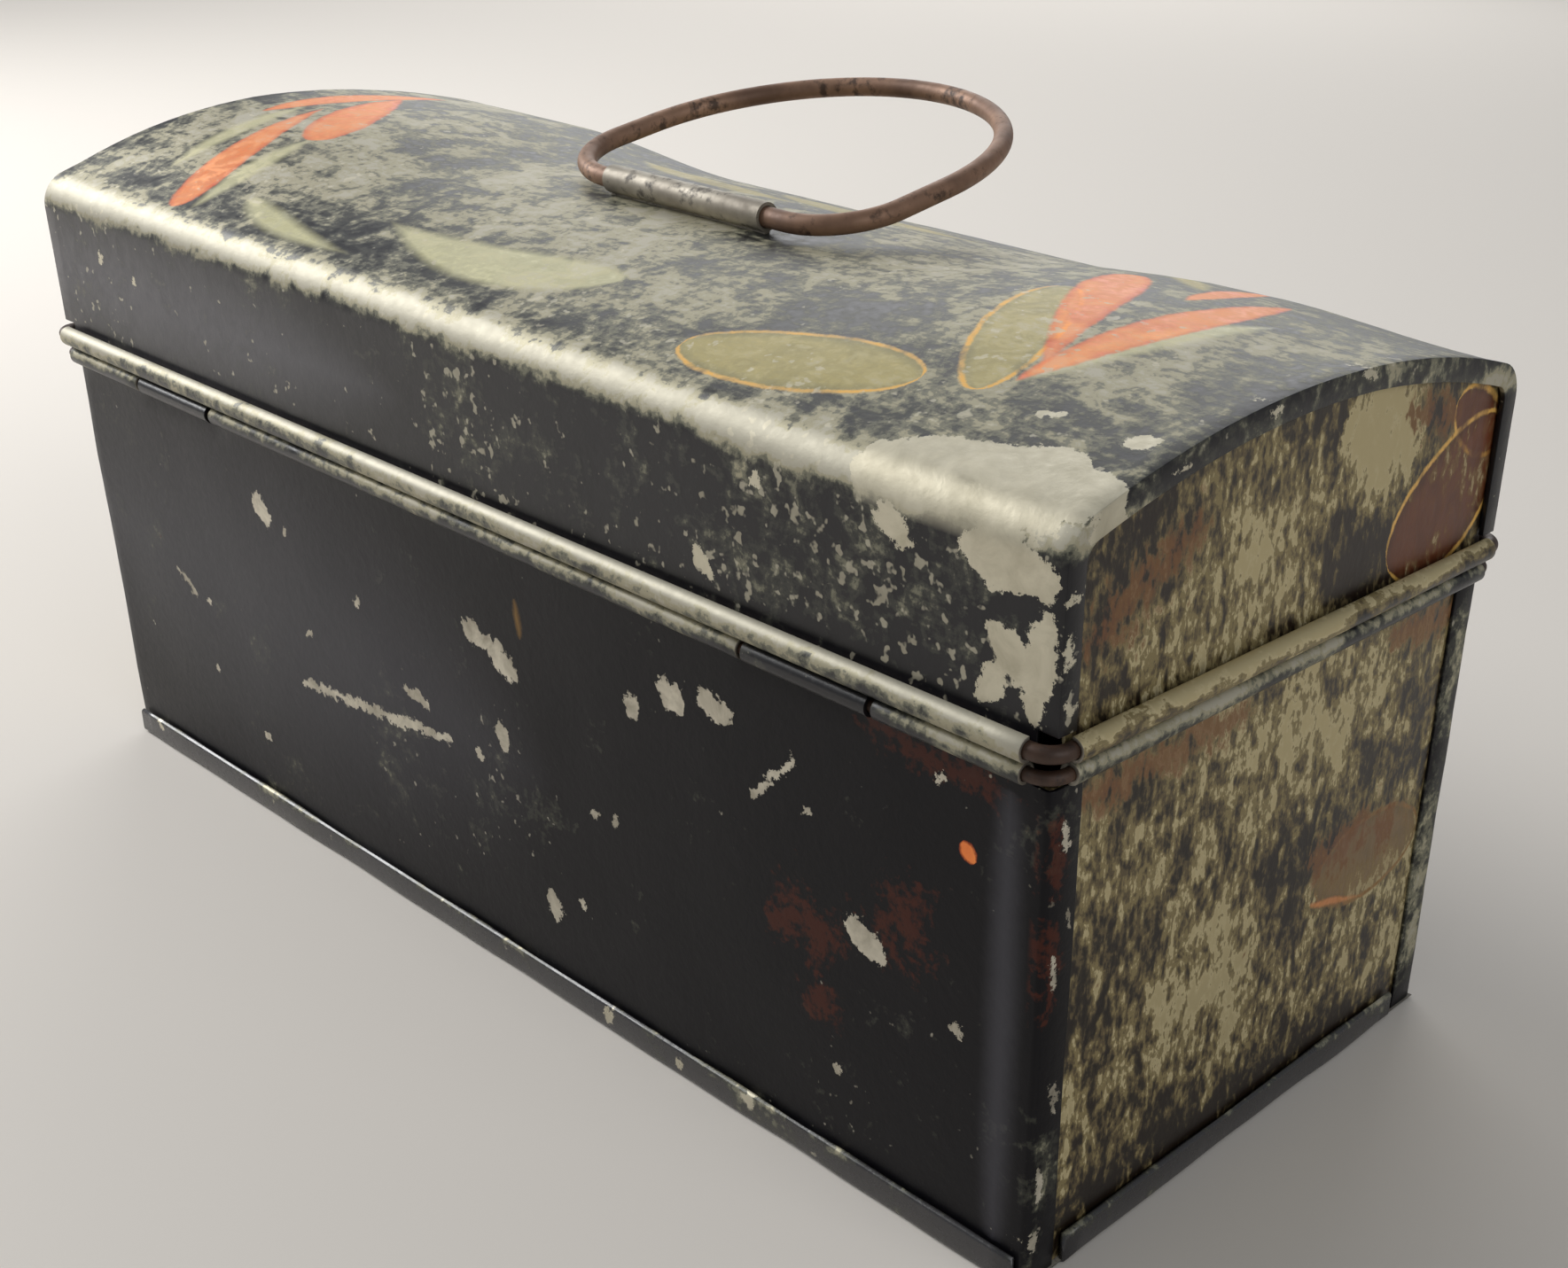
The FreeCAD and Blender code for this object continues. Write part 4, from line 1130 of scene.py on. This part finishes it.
@dataclass
class DomedLid:
    """The lid: a domed sheet with long walls, folded over two arched ends, with rolled rims."""

    half_x: float = 115.95
    wall_y: float = 48.45
    cut: float = 80.439
    rim: float = 78.439
    wire_in: float = 1.15
    bend_y: float = 42.45
    bend_z: float = 99.973
    dome_z: float = -48.061
    dome_radius: float = 160.0
    eave: float = 6.0
    fold_wide: float = 3.5
    fold_deep: float = 1.0
    curl_half: float = 112.6
    end_face: float = 114.95
    end_curl: float = 46.1
    wrap: float = 280.0
    pitch: float = 4.5
    notch: float = 10.0
    far_rise: float = 3.2
    far_slope: Flat = (40.0, 85.0)
    near_rise: float = 1.6
    near_slope: Flat = (-44.0, -72.0)
    near_fall: Flat = (-80.0, -114.0)
    sheet_bends: tuple[int, int] = (8, 26)
    plate_bends: tuple[int, int] = (6, 24)
    plate_cuts: int = 7
    sheet_dents: tuple[Dents, ...] = (Dents(0.18, 26.0, 3.0), Dents(0.06, 5.0, 11.0))
    plate_dents: tuple[Dents, ...] = (Dents(0.25, 24.0),)

    def build(self) -> None:
        """Build the lid's sheets, and dress them, its wire and its hinge straps."""
        tin = INNER_TIN.make()
        skin = (LID_JAPAN.make(), tin, LID_BEAD.make())
        end = (LID_END.make(), tin, END_BEAD.make())
        finish_piece(self.sheet(), "domed_sheet", "lid_top", "lid", skin)
        finish_piece(self.end_plate(90, 6.0), "left_arch", "lid_left_end", "lid", end)
        finish_piece(self.end_plate(-90, 8.0), "right_arch", "lid_right_end", "lid", end)
        dress("lid_rim_wire", RIM_WIRE.make())
        strap = HINGE_JAPAN.make()
        for node in ("hinge_strap_left", "hinge_strap_right"):
            dress(node, strap)

    def sheet(self) -> Mesh:
        """Build the domed sheet's outer face.

        Returns:
            The mesh in millimetres.
        """
        bm = bmesh.new()
        section = self._arch(bm, -self.half_x, 0.0)
        stops = (-self.curl_half, -self.notch, self.notch, self.curl_half)
        places = [-self.half_x, *steps_between(-self.half_x, self.half_x, self.pitch, stops)]
        last = sweep(bm, section, [(b - a, 0, 0) for a, b in zip(places, places[1:])])
        for side, edges in ((-1, section), (1, last)):
            fold = self._arch(bm, side * self.half_x, self.fold_wide)
            bmesh.ops.bridge_loops(bm, edges=edges + fold)
            sweep(bm, fold, [(-side * self.fold_deep, 0, 0)])
        for side in (-1, 1):
            rolled = [edge for edge in bm.edges if self._is_rolled(edge, side)]
            wire = (0, side * (self.wall_y + self.wire_in), self.rim)
            roll(bm, rolled, self.rim - self.cut, wire, (side, 0, 0), self.wrap)
        # Only the crown's outer face lies this high; the fold behind it is lower.
        crown = self.dome_z + self.dome_radius - self.fold_deep
        close_up(bm, lambda at: at.z > crown, (0, 0, 1))
        self._form_crown(bm)
        make_uneven(bm, self.sheet_dents)
        return bm

    def end_plate(self, turn: float, seed: float) -> Mesh:
        """Build an arched end's outer face.

        Args:
            turn: degrees that the plate is turned about Z from the rear.
            seed: shift of its unevenness.

        Returns:
            The mesh in millimetres.
        """
        bm = bmesh.new()
        line = Outline(bm, (self.wall_y - SHEET_THICK, self.end_face, self.bend_z), (0, -1, 0))
        angle = self._eave_angle()
        eave_steps, dome_steps = self.plate_bends
        line.bend((self.bend_y, self.end_face, self.bend_z), angle, eave_steps)
        line.bend((0, self.end_face, self.dome_z), 180 - 2 * angle, dome_steps)
        line.bend((-self.bend_y, self.end_face, self.bend_z), angle, eave_steps)
        grown = bmesh.ops.extrude_edge_only(bm, edges=bm.edges[:])["geom"]
        low = [part for part in grown if isinstance(part, Vert)]
        bmesh.ops.scale(bm, vec=(1, 1, 0), space=Matrix.Translation((0, 0, -self.cut)), verts=low)
        upright = [edge for edge in bm.edges if abs(edge.verts[0].co.x - edge.verts[1].co.x) < MERGE]
        bmesh.ops.subdivide_edges(bm, edges=upright, cuts=self.plate_cuts, use_grid_fill=True)
        bottom = [edge for edge in bm.edges if self._is_bottom(edge)]
        wire = (0, self.end_face + self.wire_in, self.rim)
        roll(bm, bottom, self.rim - self.cut, wire, (1, 0, 0), self.wrap)
        for side in (-1, 1):
            self._trim_curl(bm, side)
        close_up(bm, lambda at: at.z > self.bend_z, (0, 1, 0))
        make_uneven(bm, self.plate_dents, seed)
        turn_about_z(bm, turn)
        self._form_crown(bm)
        return bm

    def _arch(self, bm: Mesh, x: float, inset: float) -> list[Edge]:
        """Draw the lid's section from the rear wall over the dome to the front one.

        Args:
            bm: mesh under work.
            x: place along the lid.
            inset: distance inside the outer face.

        Returns:
            The new edges.
        """
        before = set(bm.edges)
        turn = self._eave_angle()
        wall = self.wall_y - inset
        eave_steps, dome_steps = self.sheet_bends
        heights = steps_between(self.cut, self.bend_z, self.pitch)
        line = Outline(bm, (x, wall, self.cut), (1, 0, 0))
        line.run(*((x, wall, z) for z in heights))
        line.bend((x, self.bend_y, self.bend_z), turn, eave_steps)
        line.bend((x, 0, self.dome_z), 180 - 2 * turn, dome_steps)
        line.bend((x, -self.bend_y, self.bend_z), turn, eave_steps)
        line.run(*((x, -wall, z) for z in [*reversed(heights[:-1]), self.cut]))
        return [edge for edge in bm.edges if edge not in before]

    def _eave_angle(self) -> float:
        """Angle of the eave's bend in degrees."""
        return math.degrees(math.atan2(self.bend_z - self.dome_z, self.bend_y))

    def _is_bottom(self, edge: Edge) -> bool:
        """Tell whether an edge lies along the bottom of the lid's walls."""
        return all(abs(vert.co.z - self.cut) < MERGE for vert in edge.verts)

    def _is_rolled(self, edge: Edge, side: int) -> bool:
        """Tell whether the rim is rolled under an edge of a long wall.

        Args:
            edge: the edge.
            side: 1 for the rear wall, -1 for the front one, which has a notch for the hasp.

        Returns:
            Whether it is a bottom edge of that wall, clear of the corners and the notch.
        """
        middle = (edge.verts[0].co + edge.verts[1].co) / 2
        on_wall = self._is_bottom(edge) and abs(middle.y - side * self.wall_y) < TOUCH
        in_notch = side < 0 and abs(middle.x) < self.notch
        return on_wall and abs(middle.x) < self.curl_half and not in_notch

    def _trim_curl(self, bm: Mesh, side: int) -> None:
        """Cut an end's rolled rim off short of the corner.

        Args:
            bm: mesh under work.
            side: end of the rim, 1 or -1.
        """
        faces = [face for face in bm.faces if face.calc_center_median().z < self.cut]
        edges = {edge for face in faces for edge in face.edges}
        verts = {vert for face in faces for vert in face.verts}
        bmesh.ops.bisect_plane(bm, geom=[*faces, *edges, *verts], plane_co=(side * self.end_curl, 0, 0),
                               plane_no=(side, 0, 0), dist=CUT_CLEAR, clear_outer=True)

    def _form_crown(self, bm: Mesh) -> None:
        """Raise the dome a little beside the handle, most at the front, as it was formed by hand.

        Args:
            bm: mesh under work.
        """
        for vert in bm.verts:
            across = share_of(vert.co.y, 0.0, self.bend_y)
            share = share_of(vert.co.z, self.bend_z, self.bend_z + self.eave) * (1 - across ** 2)
            vert.co.z += share * self._rise(vert.co.x)

    def _rise(self, x: float) -> float:
        """Height of the crown over the plain arc at a place along the lid."""
        near = smooth_step(x, *self.near_slope) * (1 - smooth_step(x, *self.near_fall))
        return self.far_rise * smooth_step(x, *self.far_slope) + self.near_rise * near


@dataclass
class BodyShell:
    """The body: four rolled walls on a folded foot, and the wire in their rim."""

    half_x: float = 115.0
    half_y: float = 48.0
    notches: tuple[Flat, ...] = ((-88.5, -64.5), (64.5, 88.5))
    bend: float = 1.2
    curl_gap: float = 3.05
    end_curl_gap: float = 2.55
    lap: float = 6.0
    foot_high: float = 5.0
    foot_thick: float = 1.2
    foot_round: float = 0.8
    foot_short: float = 1.5
    foot_pitch: float = 2.0
    foot_dents: tuple[Dents, ...] = (Dents(0.3, 16.0, 9.0),)

    def build(self) -> None:
        """Build the walls and the foot, and dress them and the wire."""
        tin, bead = INNER_TIN.make(), BODY_BEAD.make()
        foot = (BODY_FOOT.make(), tin)
        side, end = (BODY_JAPAN.make(), tin, bead), (BODY_END.make(), tin, bead)
        front = RolledWall(self.half_x, self.half_y, self.bend, self.lap, self.half_x - self.curl_gap)
        rear = replace(front, notches=self.notches)
        short = RolledWall(self.half_y - SHEET_THICK, self.half_x - SHEET_THICK, self.bend - SHEET_THICK,
                           self.lap, self.half_y - self.end_curl_gap)
        finish_piece(rear.build(0, 1.0), "rear_wall", "body_rear_panel", "body", side)
        finish_piece(front.build(180, 2.0), "front_wall", "body_front_panel", "body", side)
        finish_piece(short.build(90, 4.0), "left_end_wall", "body_left_end", "body", end)
        finish_piece(short.build(-90, 5.0), "right_end_wall", "body_right_end", "body", end)
        finish_piece(self.foot(), "folded_foot", "body_bottom", "body", foot, is_sheet=False)
        dress("body_rim_wire", RIM_WIRE.make())

    def foot(self) -> Mesh:
        """Build the bottom plate with a folded rim along each wall.

        Returns:
            The mesh in millimetres.
        """
        bm = bmesh.new()
        plate = bmesh.ops.create_cube(bm, size=1.0)["verts"]
        bmesh.ops.scale(bm, vec=(2 * self.half_x, 2 * self.half_y, SHEET_THICK), verts=plate)
        bmesh.ops.translate(bm, vec=(0, 0, SHEET_THICK / 2), verts=plate)
        inside = max(bm.faces, key=lambda face: face.calc_center_median().z)
        inside.material_index = INSIDE
        long_run = self.half_x - self.foot_short
        short_run = self.half_y - self.lap - self.foot_short
        for turn in (0, 180):
            self._fold(bm, long_run, self.half_y, turn)
            self._fold(bm, short_run, self.half_x - SHEET_THICK, turn + 90)
        make_uneven(bm, self.foot_dents)
        return bm

    def _fold(self, bm: Mesh, half_run: float, face: float, turn: float) -> None:
        """Add one folded rim.

        Args:
            bm: mesh under work.
            half_run: half of its length.
            face: outer face of the wall that it clasps.
            turn: degrees that it is turned about Z from the rear.
        """
        part = bmesh.new()
        bmesh.ops.create_cube(part, size=1.0)
        bmesh.ops.scale(part, vec=(2 * half_run, self.foot_thick, self.foot_high), verts=part.verts)
        bmesh.ops.translate(part, vec=(0, face + self.foot_thick / 2, self.foot_high / 2), verts=part.verts)
        outer = [edge for edge in part.edges if self._is_outer(edge, face)]
        bmesh.ops.bevel(part, geom=outer, offset=self.foot_round, offset_type="OFFSET", affect="EDGES",
                        segments=3, profile=0.5, material=-1)
        runs = [edge for edge in part.edges if edge.calc_length() > half_run]
        bmesh.ops.subdivide_edges(part, edges=runs, cuts=round(half_run / self.foot_pitch))
        turn_about_z(part, turn)
        join(bm, part)

    def _is_outer(self, edge: Edge, face: float) -> bool:
        """Tell whether an edge runs along a fold's outer face, at its top or bottom."""
        a, b = (vert.co for vert in edge.verts)
        return min(a.y, b.y) > face + self.foot_thick / 2 and abs(a.x - b.x) > self.foot_high


@dataclass
class RingHandle:
    """The handle: a wire ring that turns in a rolled tube on the dome."""

    wire: WornMetal = RING_WIRE
    tube: WornMetal = TUBE_TIN

    def build(self) -> None:
        """Dress the ring and its tube."""
        dress("handle_strap", self.tube.make())
        dress("handle_ring", self.wire.make())


@dataclass
class HaspAndStaple:
    """The catch: a slotted hasp on the lid's wire and a wire staple in the front wall."""

    plate: JapannedTin = HASP_JAPAN
    wire: WornMetal = RIM_WIRE

    def build(self) -> None:
        """Dress the hasp and its staple."""
        dress("hasp", self.plate.make())
        dress("hasp_staple", self.wire.make())


def main() -> None:
    """Build the box, one sub-assembly after the other."""
    Studio().build()
    BodyShell().build()
    DomedLid().build()
    RingHandle().build()
    HaspAndStaple().build()


if __name__ == "__main__":
    main()
